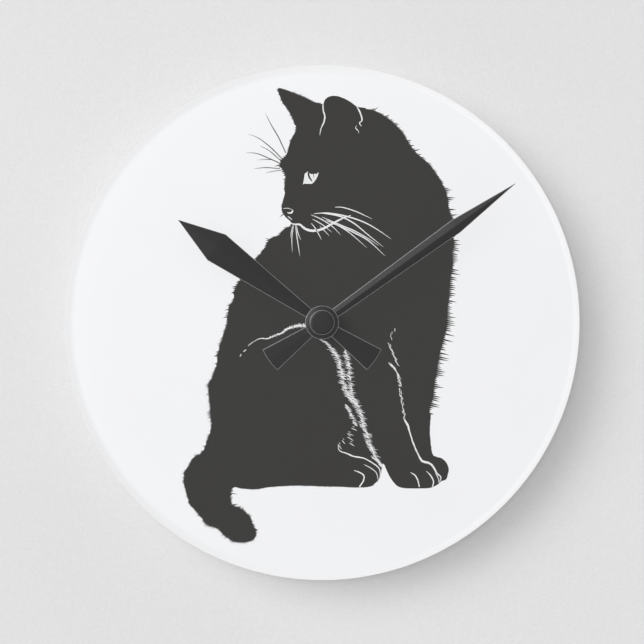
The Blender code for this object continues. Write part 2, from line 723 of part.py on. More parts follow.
def coil():
    """Flat core, flanged bobbin and winding, lying along X."""
    outline = rectangle(STATOR_X[0] + 0.2, STATOR_X[1] - 0.2, COIL_Z - 1.5, COIL_Z + 1.5,
                        0.5, 2)
    place(plate("coil_core", outline, COIL_D - 0.5, COIL_D + 0.5, screw_holes()), STEEL)

    # Profiles of (radius, x)
    bobbin = [(1.65, 7.0), (3.0, 7.0), (3.0, 7.8), (2.0, 7.8), (2.0, 16.2), (3.0, 16.2),
              (3.0, 17.0), (1.65, 17.0)]
    winding = [(2.1, 7.9), (2.75, 7.9), (2.75, 16.1), (2.1, 16.1)]
    for name, profile, material in (("coil_bobbin", bobbin, GREY_PLASTIC),
                                    ("coil_winding", winding, COPPER)):
        place(lathe(name, profile, 18, (COIL_Z, COIL_D), along_x=True), material)


def motor_screws():
    for side, x in zip(("left", "right"), SCREW_X):
        screw = arbor(f"motor_screw_{side}", [(0.8, 2.6, 6.85), (1.6, 6.85, 7.8)], 16,
                      (x, COIL_Z))
        cut(screw, block("slot", (x - 2, x + 2), (7.45, 8.5), (COIL_Z - 0.2, COIL_Z + 0.2)))
        place(screw, STEEL)


# ---------------------------------------------------------------- electronics
def circuit_board():
    outline = rectangle(-22.5, 22.5, BOARD_Z - 2.8, BOARD_Z + 2.8, 0.6, 2)
    place(plate("circuit_board", outline, 2.4, 3.2), BOARD)


def ic_chip():
    """Low blob on the board; profile of (radius, depth)."""
    profile = [(0, 3.3), (2.2, 3.3), (2.1, 3.7), (1.6, 4.1), (0.8, 4.3), (0, 4.35)]
    place(lathe("ic_chip", profile, 20, (-12.0, BOARD_Z)), BLACK_PLASTIC)


def quartz_crystal():
    """Can lying along X; profile of (radius, x)."""
    can = [(0, 11.0), (0.8, 11.0), (1.0, 11.2), (1.0, 16.8), (0.8, 17.0), (0, 17.0)]
    place(lathe("quartz_crystal", can, 16, (BOARD_Z, 4.35), along_x=True), STEEL)


def bend(points, turns=3):
    """Round the corners of a wire path a little."""
    path = [points[0]]
    for before, corner, after in zip(points, points[1:], points[2:]):
        for k in range(turns + 1):
            t = k / turns
            spot = [(1 - t) * (b + 0.25 * (a - b)) + t * (b + 0.25 * (c - b))
                    for a, b, c in zip(before, corner, after)]
            if 0 < k < turns:
                spot = [0.75 * value + 0.25 * b for value, b in zip(spot, corner)]
            path.append(spot)
    return path + [points[-1]]


# Wires from the coil to the board: (x, depth, z)
COIL_LEADS = {
    "coil_lead_a": [(17.2, 7.9, 20.2), (19.0, 7.9, 19.0), (20.4, 7.9, 16.5),
                    (20.4, 7.4, 0.0), (19.6, 3.5, -4.8)],
    "coil_lead_b": [(17.2, 7.9, 23.6), (20.0, 8.4, 24.7), (22.4, 7.6, 23.4),
                    (22.5, 7.4, 2.0), (21.6, 3.5, -4.8)],
}


def coil_leads():
    for name, points in COIL_LEADS.items():
        place(wire(name, bend(points), 0.15, 6), COPPER)


# -------------------------------------------------------------------- battery
def aa_battery():
    """Cell with its raised positive button at the left end."""
    button_x = CELL_X + 1.1
    right = CELL_X + CELL_LENGTH
    profile = [(0, CELL_X), (2.6, CELL_X), (2.75, CELL_X + 0.15), (2.75, button_x),
               (6.5, button_x), (CELL_R, CELL_X + 1.8), (CELL_R, right - 0.6),
               (CELL_R - 0.6, right), (0, right)]
    place(lathe("aa_battery", profile, 28, (CELL_Z, CELL_D), along_x=True), JACKET)


def battery_contacts():
    """A pad at each end of the cell, a strip past the bay wall and a board tab."""
    outline = [(-24.0, 4.0), (-12.6, 4.0), (-12.0, 3.35), (-5.0, 3.35), (-5.0, 8.0),
               (-12.0, 8.0), (-14.0, 12.4), (-24.0, 12.4)]               # (z, depth)
    for name, side in (("positive", -1), ("negative", 1)):
        strip = plate(f"battery_contact_{name}", outline, *mirrored(side, 26.2, 26.6),
                      lay=from_side)
        join(strip, block("tab", mirrored(side, 21.6, 26.4), (3.3, 3.7), (-8.4, -5.2)))
        place(strip, STEEL)


def battery_spring():
    """Conical spring, pressed nearly flat between the strip and the cell."""
    turns, steps = 3, 10
    wide_r, taper = 4.6, 2.9
    wide_x, travel = 25.78, 0.72
    path = []
    for k in range(turns * steps + 1):
        share = k / (turns * steps)
        angle = 2 * math.pi * turns * share
        radius = wide_r - taper * share
        path.append((wide_x - travel * share, CELL_D + radius * math.cos(angle),
                     CELL_Z + radius * math.sin(angle)))
    place(wire("battery_spring", path, 0.25, 5), STEEL)


BUILDERS = (
    acrylic_face, white_backing, cat_print, dial_gasket,
    wall_hanger, threaded_bushing, dial_washer, hex_nut,
    hour_hand, minute_hand, cap_nut,
    case_shell, rear_cover, gear_plate,
    seconds_wheel, third_wheel, centre_wheel, fifth_wheel, rotor,
    minute_arbor, friction_spring, hour_wheel, minute_wheel, setting_pinion, setting_knob,
    stator, coil, motor_screws,
    circuit_board, ic_chip, quartz_crystal, coil_leads,
    aa_battery, battery_contacts, battery_spring,
)
for build in BUILDERS:
    build()
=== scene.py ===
"""Looks for a round cat wall clock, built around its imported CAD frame.

The dial faces -y and the wall is at its back. The drawing code works in
millimetres from the hand axis: x to the right, z up, and d the distance in
front of the wall, so y = -d. Lights, camera and room are in metres.
"""

import math
import random

import bmesh
import bpy
from mathutils import Matrix, Vector

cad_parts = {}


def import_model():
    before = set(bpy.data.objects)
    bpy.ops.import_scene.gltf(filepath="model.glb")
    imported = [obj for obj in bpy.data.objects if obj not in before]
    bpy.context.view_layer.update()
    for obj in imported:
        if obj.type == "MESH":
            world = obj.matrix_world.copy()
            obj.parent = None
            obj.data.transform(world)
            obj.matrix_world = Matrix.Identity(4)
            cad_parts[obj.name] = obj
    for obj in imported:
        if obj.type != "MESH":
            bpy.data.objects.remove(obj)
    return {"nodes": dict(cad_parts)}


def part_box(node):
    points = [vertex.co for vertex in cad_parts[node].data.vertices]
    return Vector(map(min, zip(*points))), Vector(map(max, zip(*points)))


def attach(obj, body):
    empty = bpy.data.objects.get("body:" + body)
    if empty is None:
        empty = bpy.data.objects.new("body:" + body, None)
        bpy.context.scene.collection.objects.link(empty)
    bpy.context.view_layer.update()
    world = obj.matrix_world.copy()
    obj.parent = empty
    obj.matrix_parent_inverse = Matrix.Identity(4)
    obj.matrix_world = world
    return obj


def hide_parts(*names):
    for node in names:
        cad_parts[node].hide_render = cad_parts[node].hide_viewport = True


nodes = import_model()["nodes"]
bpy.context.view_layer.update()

MM = 0.001


def depth(node):
    """(nearest the wall, nearest the viewer) of a CAD node, in mm from the wall."""
    low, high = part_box(node)
    return -high.y * 1000, -low.y * 1000


def half_width(node):
    low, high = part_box(node)
    return (high.x - low.x) * 500


DIAL_BACK, DIAL_FRONT = depth("acrylic_face")
DIAL_RADIUS = half_width("acrylic_face")
# The inks are bonded to the sheet. They reach a hair inside its back face, so
# that light passes from the sheet into the ink with no air between.
PRINT_BACK, PRINT_FRONT = DIAL_BACK + 0.04, DIAL_BACK + 0.12
WHITE_BACK, WHITE_FRONT = depth("white_backing")[1] + 0.15, DIAL_BACK + 0.03
# Radii of the centre hole in the sheet and in each ink.
SHEET_HOLE, WHITE_HOLE, BLACK_HOLE = 4.3, 4.35, 4.42
ROUND_STEPS = 320                # segments around the dial

# Brightness of the studio surround: as light, and as seen in reflections.
FILL, MIRROR = 0.15, 0.50

# ------------------------------------------------------------- shader nodes


def feed(tree, socket, value):
    """Link an input to another node's output, or set its plain value."""
    if isinstance(value, bpy.types.NodeSocket):
        tree.links.new(value, socket)
    else:
        socket.default_value = value


def add(tree, kind, inputs=None, **props):
    made = tree.nodes.new("ShaderNode" + kind)
    for key, value in props.items():
        setattr(made, key, value)
    for key, value in (inputs or {}).items():
        feed(tree, made.inputs[key], value)
    return made


def new_material(name):
    """An empty material, its tree and its object coordinates."""
    material = bpy.data.materials.new(name)
    material.use_nodes = True
    tree = material.node_tree
    tree.nodes.clear()
    return material, tree, add(tree, "TexCoord").outputs["Object"]


def output(tree, shader):
    add(tree, "OutputMaterial", {"Surface": shader})


def noise(tree, where, scale, detail=2.0, roughness=0.5):
    return add(tree, "TexNoise", {"Vector": where, "Scale": scale, "Detail": detail,
                                  "Roughness": roughness}).outputs["Fac"]


def mapped(tree, value, source, target=(0.0, 1.0), shape="LINEAR"):
    """Carry the source range over to the target range."""
    return add(tree, "MapRange", {"Value": value, "From Min": source[0], "From Max": source[1],
                                  "To Min": target[0], "To Max": target[1]},
               interpolation_type=shape).outputs[0]


def smooth(tree, value, source, target=(0.0, 1.0)):
    return mapped(tree, value, source, target, "SMOOTHSTEP")


def blend(tree, factor, first, second):
    """Colour between two RGB triples."""
    return add(tree, "Mix", {0: factor, 6: (*first, 1), 7: (*second, 1)},
               data_type="RGBA").outputs[2]


def arithmetic(tree, operation, *values):
    return add(tree, "Math", dict(enumerate(values)), operation=operation).outputs[0]


def vector_math(tree, operation, result, inputs):
    return add(tree, "VectorMath", inputs, operation=operation).outputs[result]


def mix_shader(tree, factor, first, second):
    return add(tree, "MixShader", {0: factor, 1: first, 2: second}).outputs[0]


def bumped(tree, height, strength, distance=0.0001):
    return add(tree, "Bump", {"Strength": strength, "Distance": distance,
                              "Height": height}).outputs[0]


def principled(tree, inputs):
    return add(tree, "BsdfPrincipled", inputs).outputs[0]


# ---------------------------------------------------------------- materials


def brushed_coordinates(tree, where, brushed):
    """Coordinates that draw noise into rings or along z."""
    if brushed == "ring":
        axes = add(tree, "SeparateXYZ", {0: where}).outputs
        squares = [arithmetic(tree, "MULTIPLY", axes[k], axes[k]) for k in (0, 2)]
        radius = arithmetic(tree, "SQRT", arithmetic(tree, "ADD", *squares))
        return add(tree, "CombineXYZ", {0: radius, 1: axes[1]}).outputs[0]
    if brushed == "z":
        return add(tree, "Mapping", {"Vector": where, "Scale": (1, 1, 0.04)}).outputs[0]
    return where


def surface(name, colour, *, roughness, metal=0.0, colour2=None, mottle=0.15, grain=900.0,
            bump=0.08, bump_scale=2500.0, rough_var=0.08, brushed=None, sheen=0.0,
            specular=0.5):
    """One procedural finish: mottled colour, uneven roughness, fine bump.

    The colour varies to colour2, or else darkens by the share mottle; the
    roughness varies by rough_var either way. grain and bump_scale are noise
    scales per metre. brushed is "ring" for turned parts, "z" for drawn metal."""
    material, tree, where = new_material(name)
    middle = (0.3, 0.7)          # the part of the noise range that is used
    mottling = mapped(tree, noise(tree, where, scale=grain, detail=4.0), middle)
    colour2 = colour2 or tuple(c * (1 - mottle) for c in colour)
    wear = noise(tree, where, scale=grain * 0.37, detail=3.0)
    relief = noise(tree, brushed_coordinates(tree, where, brushed), scale=bump_scale)
    output(tree, principled(tree, {
        "Base Color": blend(tree, mottling, colour, colour2),
        "Metallic": metal,
        "Roughness": mapped(tree, wear, middle, (max(roughness - rough_var, 0.02),
                                                 min(roughness + rough_var, 1.0))),
        "Coat Roughness": 0.08,
        "Specular IOR Level": specular,
        "Sheen Weight": sheen,
        "Normal": bumped(tree, relief, strength=bump)}))
    return material


def winding_material():
    """Copper wire laid in turns: fine bands along the coil."""
    material, tree, where = new_material("coil_copper")
    bands = add(tree, "TexWave", {"Vector": where, "Scale": 1900.0, "Distortion": 0.6,
                                  "Detail": 1.0},
                wave_type="BANDS", bands_direction="X").outputs["Fac"]
    output(tree, principled(tree, {
        "Base Color": blend(tree, bands, (0.34, 0.12, 0.045), (0.78, 0.34, 0.15)),
        "Metallic": 0.85,
        "Roughness": 0.32,
        "Normal": bumped(tree, bands, strength=0.7)}))
    return material


def board_material():
    """Green solder mask with a hint of the glass weave."""
    material, tree, where = new_material("solder_mask")
    cells = add(tree, "TexVoronoi", {"Vector": where, "Scale": 420.0}, distance="CHEBYCHEV")
    weave = mapped(tree, cells.outputs["Distance"], (0.0, 0.6))
    output(tree, principled(tree, {
        "Base Color": blend(tree, weave, (0.012, 0.10, 0.045), (0.03, 0.19, 0.075)),
        "Roughness": 0.3,
        "Normal": bumped(tree, noise(tree, where, scale=5000.0), strength=0.2)}))
    return material


def acrylic_material():
    """Clear polished acrylic: refracts what the eye sees, lets light through."""
    ior = 1.49
    square_on_mirror = 0.0387    # share of the surround mirrored square on
    material, tree, where = new_material("clear_acrylic")
    # faint polishing haze: roughness hardly above zero, slightly uneven
    haze = mapped(tree, noise(tree, where, scale=90.0, detail=3.0), (0.35, 0.65), (0.0, 0.012))
    glass = principled(tree, {"Base Color": (0.985, 0.99, 0.995, 1), "Transmission Weight": 1.0,
                              "IOR": ior, "Roughness": haze})
    # light that comes in through the steep side of the edge is partly lost
    facing = add(tree, "LayerWeight", {"Blend": 0.5}).outputs["Facing"]
    passed = smooth(tree, facing, (0.25, 0.85), (0.96, 0.45))
    clear = add(tree, "BsdfTransparent", {0: passed}).outputs[0]
    path = add(tree, "LightPath").outputs
    is_light = arithmetic(tree, "MAXIMUM", path["Is Shadow Ray"], path["Is Diffuse Ray"])
    # Seen square on, the surface mirrors only the even studio surround, so that
    # part is added as a constant glow, a painted reflection, and stays free of grain.
    refraction = add(tree, "BsdfRefraction", {"IOR": ior, "Roughness": 0.0,
                                              "Color": (0.947, 0.952, 0.957, 1)})
    painted_reflection_level = arithmetic(tree, "MULTIPLY", path["Is Camera Ray"], square_on_mirror * MIRROR)
    painted_reflection = add(tree, "Emission", {"Strength": painted_reflection_level})
    square_on = add(tree, "AddShader", {0: refraction.outputs[0], 1: painted_reflection.outputs[0]})
    tilt = smooth(tree, facing, (0.06, 0.20))
    seen = mix_shader(tree, tilt, square_on.outputs[0], glass)
    output(tree, mix_shader(tree, is_light, seen, clear))
    return material


def white_layer_painted_edge_light_material():
    """White ink with painted light near its rim: a grey band of painted shade on
    the side facing the key light, and a bright line of painted highlight on the
    right, standing in for how the rounded edge bends the light."""
    material = surface("white_print", (0.896, 0.896, 0.903), colour2=(0.886, 0.886, 0.894),
                       roughness=0.6, specular=0.0, grain=30.0, bump=0.002)
    tree = material.node_tree
    ink = tree.nodes["Principled BSDF"]
    base = ink.inputs["Base Color"].links[0].from_socket
    where = add(tree, "TexCoord").outputs["Object"]
    flat = vector_math(tree, "MULTIPLY", 0, {0: where, 1: (1, 0, 1)})
    radius = vector_math(tree, "LENGTH", "Value", {0: flat})
    outward = vector_math(tree, "NORMALIZE", 0, {0: flat})
    lit_side = vector_math(tree, "DOT_PRODUCT", "Value", {0: outward, 1: (-0.97, 0, 0.24)})
    right_side = add(tree, "SeparateXYZ", {0: outward}).outputs["X"]

    # painted shade band on the lit side, then the painted highlight line on the right: radii in
    # metres, then the depth of each
    painted_edge_shade = arithmetic(tree, "MULTIPLY", smooth(tree, radius, (0.0977, 0.0993), (0.0, 0.088)),
                      smooth(tree, lit_side, (-0.2, 0.8)))
    # ring and line carry the painted highlight: a bright line near the rim, on the right side only
    ring = arithmetic(tree, "MULTIPLY", smooth(tree, radius, (0.0984, 0.0991), (0.0, 0.058)),
                      smooth(tree, radius, (0.0993, 0.0997), (1.0, 0.3)))
    line = arithmetic(tree, "MULTIPLY", ring, smooth(tree, right_side, (0.1, 0.75)))
    # painted light on the ink: lighter by the painted highlight, darker by the painted shade
    painted_edge_light = arithmetic(tree, "ADD", arithmetic(tree, "SUBTRACT", line, painted_edge_shade), 1.0)
    ink_with_painted_edge_light = vector_math(tree, "SCALE", 0, {0: base, "Scale": painted_edge_light})
    feed(tree, ink.inputs["Base Color"], ink_with_painted_edge_light)

    # the thin ink near the clear edge lets some light by, which softens the
    # outline of the shadow on the wall
    shadow_ray = add(tree, "LightPath").outputs["Is Shadow Ray"]
    let_by = arithmetic(tree, "MULTIPLY", shadow_ray,
                        smooth(tree, radius, (0.0935, 0.1000), (0.0, 0.9)))
    clear = add(tree, "BsdfTransparent").outputs[0]
    feed(tree, tree.nodes["Material Output"].inputs["Surface"],
         mix_shader(tree, let_by, ink.outputs[0], clear))
    return material


# Inks lie against the clear sheet, so they have no gloss of their own.
BLACK_INK = surface("black_ink", (0.0346, 0.0331, 0.0306), colour2=(0.0350, 0.0344, 0.0334),
                    roughness=0.6, specular=0.0, grain=14.0, bump=0.002)
WHITE_INK = surface("white_ink", (0.945, 0.945, 0.955), colour2=(0.935, 0.935, 0.945),
                    roughness=0.6, specular=0.0, grain=30.0, bump=0.002)
LINE_WHITE = surface("line_white", (0.83, 0.83, 0.83), roughness=0.6, mottle=0.04, bump=0.002,
                     specular=0.0)
# Hands stamped from thin sheet and painted satin black; the cut edge is bare metal, made light grey
# as a painted edge highlight.
HAND_PAINT = dict(grain=4000.0, bump=0.03, bump_scale=9000.0, mottle=0.1, rough_var=0.03)
HAND_BLACK = surface("hand_black", (0.0150, 0.0150, 0.0155), roughness=0.36, **HAND_PAINT)
HOUR_BLACK = surface("hour_hand_black", (0.0105, 0.0105, 0.0110), roughness=0.38, **HAND_PAINT)
HAND_EDGE_BARE_AND_HIGHLIGHT = surface("hand_cut_edge_and_painted_highlight", (0.25, 0.25, 0.25), roughness=0.45, metal=0.2,
                    grain=3000.0, bump=0.05, bump_scale=9000.0, mottle=0.2)
CASE_BLACK = surface("case_black", (0.018, 0.018, 0.019), roughness=0.55, grain=3000.0,
                     bump=0.5, bump_scale=5200.0, mottle=0.25, rough_var=0.1)
KNOB_BLACK = surface("knob_black", (0.040, 0.040, 0.041), roughness=0.4, grain=3000.0,
                     bump=0.2, bump_scale=5000.0, mottle=0.2)
ACETAL = surface("acetal_white", (0.78, 0.77, 0.73), roughness=0.38, grain=700.0,
                 mottle=0.06, bump=0.06, bump_scale=6000.0)
PLATE_WHITE = surface("plate_white", (0.74, 0.74, 0.72), roughness=0.5, grain=500.0,
                      mottle=0.08, bump=0.25, bump_scale=4500.0)
BOBBIN = surface("bobbin_grey", (0.16, 0.17, 0.18), roughness=0.5, bump=0.2)
BRASS = surface("brass", (0.72, 0.50, 0.20), colour2=(0.58, 0.38, 0.14), roughness=0.26,
                metal=1.0, grain=1500.0, bump=0.35, bump_scale=9000.0, brushed="ring")
STEEL = surface("plated_steel", (0.60, 0.61, 0.62), colour2=(0.55, 0.555, 0.56), roughness=0.3,
                metal=1.0, grain=600.0, bump=0.3, bump_scale=6000.0, brushed="z")
SPRING = surface("spring_steel", (0.66, 0.66, 0.65), roughness=0.24, metal=1.0, grain=2500.0,
                 bump=0.1)
MAGNET = surface("ferrite", (0.05, 0.05, 0.055), roughness=0.45, metal=0.4, grain=5000.0,
                 bump=0.4, bump_scale=9000.0, mottle=0.4)
RUBBER = surface("rubber", (0.02, 0.02, 0.02), roughness=0.8, grain=2500.0, bump=0.4,
                 sheen=0.2)
CHIP = surface("epoxy", (0.012, 0.012, 0.013), roughness=0.25, bump=0.2, bump_scale=1500.0)
ACRYLIC = acrylic_material()
WHITE_LAYER_PAINTED_EDGE_LIGHT = white_layer_painted_edge_light_material()
COPPER = winding_material()
BOARD = board_material()
CAP_BLACK = surface("cap_black", (0.0115, 0.0115, 0.012), roughness=0.42, grain=3500.0,
                    bump=0.12, bump_scale=7000.0, mottle=0.12, rough_var=0.04)
JACKET = surface("cell_sleeve", (0.030, 0.075, 0.150), roughness=0.3, grain=700.0, mottle=0.12)
JACKET_BAND = surface("cell_sleeve_band", (0.46, 0.47, 0.48), roughness=0.3, metal=0.3,
                      mottle=0.1)

# --------------------------------------------------------------- mesh helpers


def link_object(name, mesh):
    ob = bpy.data.objects.new(name, mesh)
    bpy.context.scene.collection.objects.link(ob)
    return ob


def make_mesh(name, bm, materials):
    mesh = bpy.data.meshes.new(name)
    bm.to_mesh(mesh)
    bm.free()
    for material in materials:
        mesh.materials.append(material)
    return mesh


def shade(mesh, sharp):
    """Smooth shading, with edges steeper than sharp degrees left crisp."""
    mesh.shade_smooth()
    mesh.set_sharp_from_angle(angle=math.radians(sharp))


def mount(ob, body, stands_for):
    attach(ob, body)
    if stands_for:
        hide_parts(stands_for)


def piece(name, bm, material, stands_for=None, sharp=None):
    """A finished piece on the clock body, from a mesh in mm; flat shaded
    unless sharp is given."""
    bmesh.ops.scale(bm, vec=(MM, MM, MM), verts=bm.verts[:])
    bmesh.ops.recalc_face_normals(bm, faces=bm.faces[:])
    mesh = make_mesh(name, bm, [material])
    if sharp:
        shade(mesh, sharp)
    mount(link_object(name, mesh), "clock_body", stands_for)


def loose(name, bm, materials):
    """A working object in mm, not yet mounted."""
    bmesh.ops.recalc_face_normals(bm, faces=bm.faces[:])
    return link_object(name, make_mesh(name, bm, materials))


def settle(ob, body, stands_for, sharp, turn=0.0):
    """Make a working object a finished piece in metres, turned clockwise by
    so many degrees as seen from the front."""
    ob.data.transform(Matrix.Scale(MM, 4))
    if turn:
        ob.data.transform(Matrix.Rotation(math.radians(turn), 4, "Y"))
    shade(ob.data, sharp)
    mount(ob, body, stands_for)


def point(x, d, z):
    return Vector((x, -d, z))


def bridge(bm, first, second):
    """Faces between two rings; where a vertex repeats, the quad is a triangle."""
    faces = []
    for k in range(len(first)):
        j = (k + 1) % len(first)
        corners = dict.fromkeys((first[k], first[j], second[j], second[k]))
        faces.append(bm.faces.new(list(corners)))
    return faces


def on_hand_axis(across, up, along):
    return point(across, along, up)


def lathe(bm, profile, segments, place=on_hand_axis):
    """Turn a profile of (radius, position along the axis). It is closed to a
    ring unless it starts and ends on the axis."""
    rings = []
    for radius, along in profile:
        if radius == 0:
            rings.append([bm.verts.new(place(0.0, 0.0, along))] * segments)
            continue
        ring = []
        for k in range(segments):
            angle = 2 * math.pi * k / segments
            spot = place(radius * math.cos(angle), radius * math.sin(angle), along)
            ring.append(bm.verts.new(spot))
        rings.append(ring)
    if profile[0][0] > 0:
        rings.append(rings[0])
    for first, second in zip(rings, rings[1:]):
        bridge(bm, first, second)


def plate(bm, loops, back, front):
    """Extruded outline of (x, z) points; loops after the first are holes."""
    edges = []
    for loop in loops:
        verts = [bm.verts.new(point(x, back, z)) for x, z in loop]
        edges += [bm.edges.new((verts[i - 1], verts[i])) for i in range(len(verts))]
    made = bmesh.ops.triangle_fill(bm, use_beauty=True, edges=edges, normal=(0, -1, 0))
    faces = [g for g in made["geom"] if isinstance(g, bmesh.types.BMFace)]
    made = bmesh.ops.extrude_face_region(bm, geom=faces)
    verts = [g for g in made["geom"] if isinstance(g, bmesh.types.BMVert)]
    bmesh.ops.translate(bm, verts=verts, vec=(0, back - front, 0))


def boolean(ob, tool, how):
    """Apply an exact Boolean to ob and remove the tool."""
    modifier = ob.modifiers.new(how, "BOOLEAN")
    modifier.operation = how
    modifier.solver = "EXACT"
    modifier.object = tool
    bpy.context.view_layer.update()
    shape = bpy.data.meshes.new_from_object(
        ob.evaluated_get(bpy.context.evaluated_depsgraph_get()))
    ob.modifiers.clear()
    ob.data = shape
    bpy.data.objects.remove(tool, do_unlink=True)


def weld(ob, dist=0.002):
    """Close the hairline seams a Boolean can leave (working units, mm)."""
    bm = bmesh.new()
    bm.from_mesh(ob.data)
    bmesh.ops.remove_doubles(bm, verts=bm.verts[:], dist=dist)
    bmesh.ops.dissolve_degenerate(bm, edges=bm.edges[:], dist=dist)
    bmesh.ops.recalc_face_normals(bm, faces=bm.faces[:])
    bm.to_mesh(ob.data)
    bm.free()


# ----------------------------------------------------------------------- dial


def acrylic_sheet():
    """Clear disc with a small round at the back rim and a wide one in front."""
    back_round = 0.45
    round_radius, round_depth, round_steps = 3.6, 3.0, 20
    profile = [(SHEET_HOLE, DIAL_BACK), (DIAL_RADIUS - 2 * back_round, DIAL_BACK),
               (DIAL_RADIUS - back_round, DIAL_BACK)]
    for k in range(1, 6):
        angle = math.radians(18.0 * k)
        profile.append((DIAL_RADIUS - back_round + back_round * math.sin(angle),
                        DIAL_BACK + back_round - back_round * math.cos(angle)))
    for k in range(round_steps + 1):
        angle = math.radians(90.0 * k / round_steps)
        profile.append((DIAL_RADIUS - round_radius * (1 - math.cos(angle)),
                        DIAL_FRONT - round_depth * (1 - math.sin(angle))))
    # a close ring keeps the flat face truly flat right up to the rounding
    profile += [(DIAL_RADIUS - round_radius - 0.12, DIAL_FRONT), (SHEET_HOLE, DIAL_FRONT)]
    bm = bmesh.new()
    lathe(bm, profile, ROUND_STEPS)
    piece("acrylic_sheet", bm, ACRYLIC, "acrylic_face", sharp=35)


def white_layer():
    radius = DIAL_RADIUS - 0.6
    corner = 0.05
    bm = bmesh.new()
    lathe(bm, [(WHITE_HOLE, WHITE_BACK), (radius - corner, WHITE_BACK),
               (radius, WHITE_BACK + corner), (radius, WHITE_FRONT - corner),
               (radius - corner, WHITE_FRONT), (WHITE_HOLE, WHITE_FRONT)], ROUND_STEPS)
    piece("white_print_layer", bm, WHITE_LAYER_PAINTED_EDGE_LIGHT, "white_backing", sharp=30)


# -------------------------------------------------------------------- the cat
# Outline clockwise from the left ear: (x, z).
EARS = [(-17.1, 92.5), (-8.7, 89.7), (-5.9, 88.5), (-3.2, 87.1), (-0.5, 86.5), (0.1, 85.5),
    (0.4, 85.0), (0.7, 86.5), (1.4, 88.1), (3.2, 89.2), (5.9, 89.3), (9.7, 87.9), (13.0, 85.7),
    (14.4, 85.0)]
BACK = [(17.4, 84.6), (20.9, 83.8), (23.7, 82.4), (26.4, 80.6), (29.2, 78.2), (32.0, 75.1),
    (33.9, 71.9), (36.3, 68.4), (39.1, 65.6), (42.2, 62.9), (45.0, 59.3), (47.4, 55.8), (49.3, 51.8),
    (50.1, 48.3), (50.7, 44.3), (51.7, 41.6), (52.1, 37.6), (52.3, 33.7), (52.6, 30.5), (51.9, 27.0),
    (52.1, 23.0), (51.7, 18.7), (51.1, 13.9), (50.9, 10.0), (50.3, 5.6), (50.1, 1.7), (49.7, -3.0),
    (48.5, -7.4), (47.4, -11.3), (46.8, -14.1), (46.1, -18.0), (45.6, -21.6), (45.0, -24.3),
    (44.6, -29.1), (43.5, -32.6), (43.0, -35.4), (42.6, -39.3), (42.5, -43.7), (42.9, -48.4),
    (43.6, -52.0)]
FRONT_PAW = [(45.0, -53.0), (47.0, -53.5), (48.9, -55.1), (49.9, -57.5), (49.7, -59.5),
    (48.9, -61.8), (47.0, -62.6), (45.7, -63.8), (42.6, -65.2), (38.3, -65.4), (34.1, -65.4),
    (31.2, -65.1), (29.4, -64.2), (27.2, -61.6), (25.6, -58.5), (24.3, -55.7)]
HIND_PAW = [(23.4, -58.1), (22.8, -60.8), (21.3, -63.0), (18.7, -64.7), (14.4, -65.0), (8.3, -64.8),
    (0.0, -64.6), (-8.7, -64.3), (-17.4, -64.6), (-21.5, -65.0), (-26.0, -65.7), (-31.4, -65.5),
    (-34.5, -64.9)]
TAIL = [(-35.5, -66.0), (-35.8, -67.8), (-35.8, -69.9), (-35.2, -71.9), (-33.5, -73.2),
    (-31.4, -74.5), (-29.2, -76.1), (-27.8, -77.8), (-26.9, -80.4), (-26.3, -82.9), (-26.5, -84.9),
    (-27.8, -86.2), (-30.0, -86.7), (-32.1, -86.8), (-34.9, -86.0), (-37.1, -84.7), (-39.7, -83.2),
    (-41.9, -81.2), (-44.4, -79.6), (-47.0, -78.0), (-48.9, -75.8), (-50.5, -73.7), (-52.0, -71.3),
    (-53.1, -68.5), (-54.1, -65.4), (-54.8, -62.6), (-55.0, -60.3), (-54.6, -58.7), (-53.5, -56.9),
    (-51.8, -54.7), (-49.8, -52.8), (-48.1, -51.4), (-46.8, -49.8), (-45.7, -47.6), (-44.7, -44.9),
    (-43.9, -42.1), (-43.5, -38.6)]
HAUNCH = [(-43.6, -36.2), (-44.0, -33.4), (-44.4, -30.3), (-44.6, -27.5), (-44.3, -24.0),
    (-43.4, -20.6), (-42.0, -16.5), (-40.8, -12.9), (-40.1, -9.4), (-39.3, -5.0), (-38.2, -1.5),
    (-36.9, 2.5), (-36.2, 6.0), (-35.2, 9.6), (-33.9, 13.1), (-32.0, 16.3), (-29.4, 20.8),
    (-26.6, 25.1), (-23.2, 29.5), (-19.9, 32.7), (-16.4, 35.5), (-13.8, 37.5)]
FACE = [(-12.5, 38.4), (-12.1, 39.3), (-13.2, 40.6), (-14.7, 42.2), (-15.6, 43.8), (-15.9, 45.3),
    (-15.5, 47.5), (-14.8, 50.0), (-14.6, 51.2), (-15.0, 53.0), (-14.8, 55.4), (-14.8, 58.1),
    (-15.6, 60.0), (-16.8, 61.4), (-16.9, 62.7), (-16.0, 64.1), (-14.4, 66.2), (-13.4, 68.4),
    (-12.8, 71.1), (-11.8, 73.3), (-10.8, 75.1), (-10.3, 77.0), (-11.1, 78.3), (-11.6, 80.2),
    (-13.3, 83.4), (-15.4, 86.3), (-16.7, 89.1)]
OUTLINE = [("ears", EARS), ("back", BACK), ("paw", FRONT_PAW), ("foot", HIND_PAW),
           ("tail", TAIL), ("haunch", HAUNCH), ("face", FACE)]

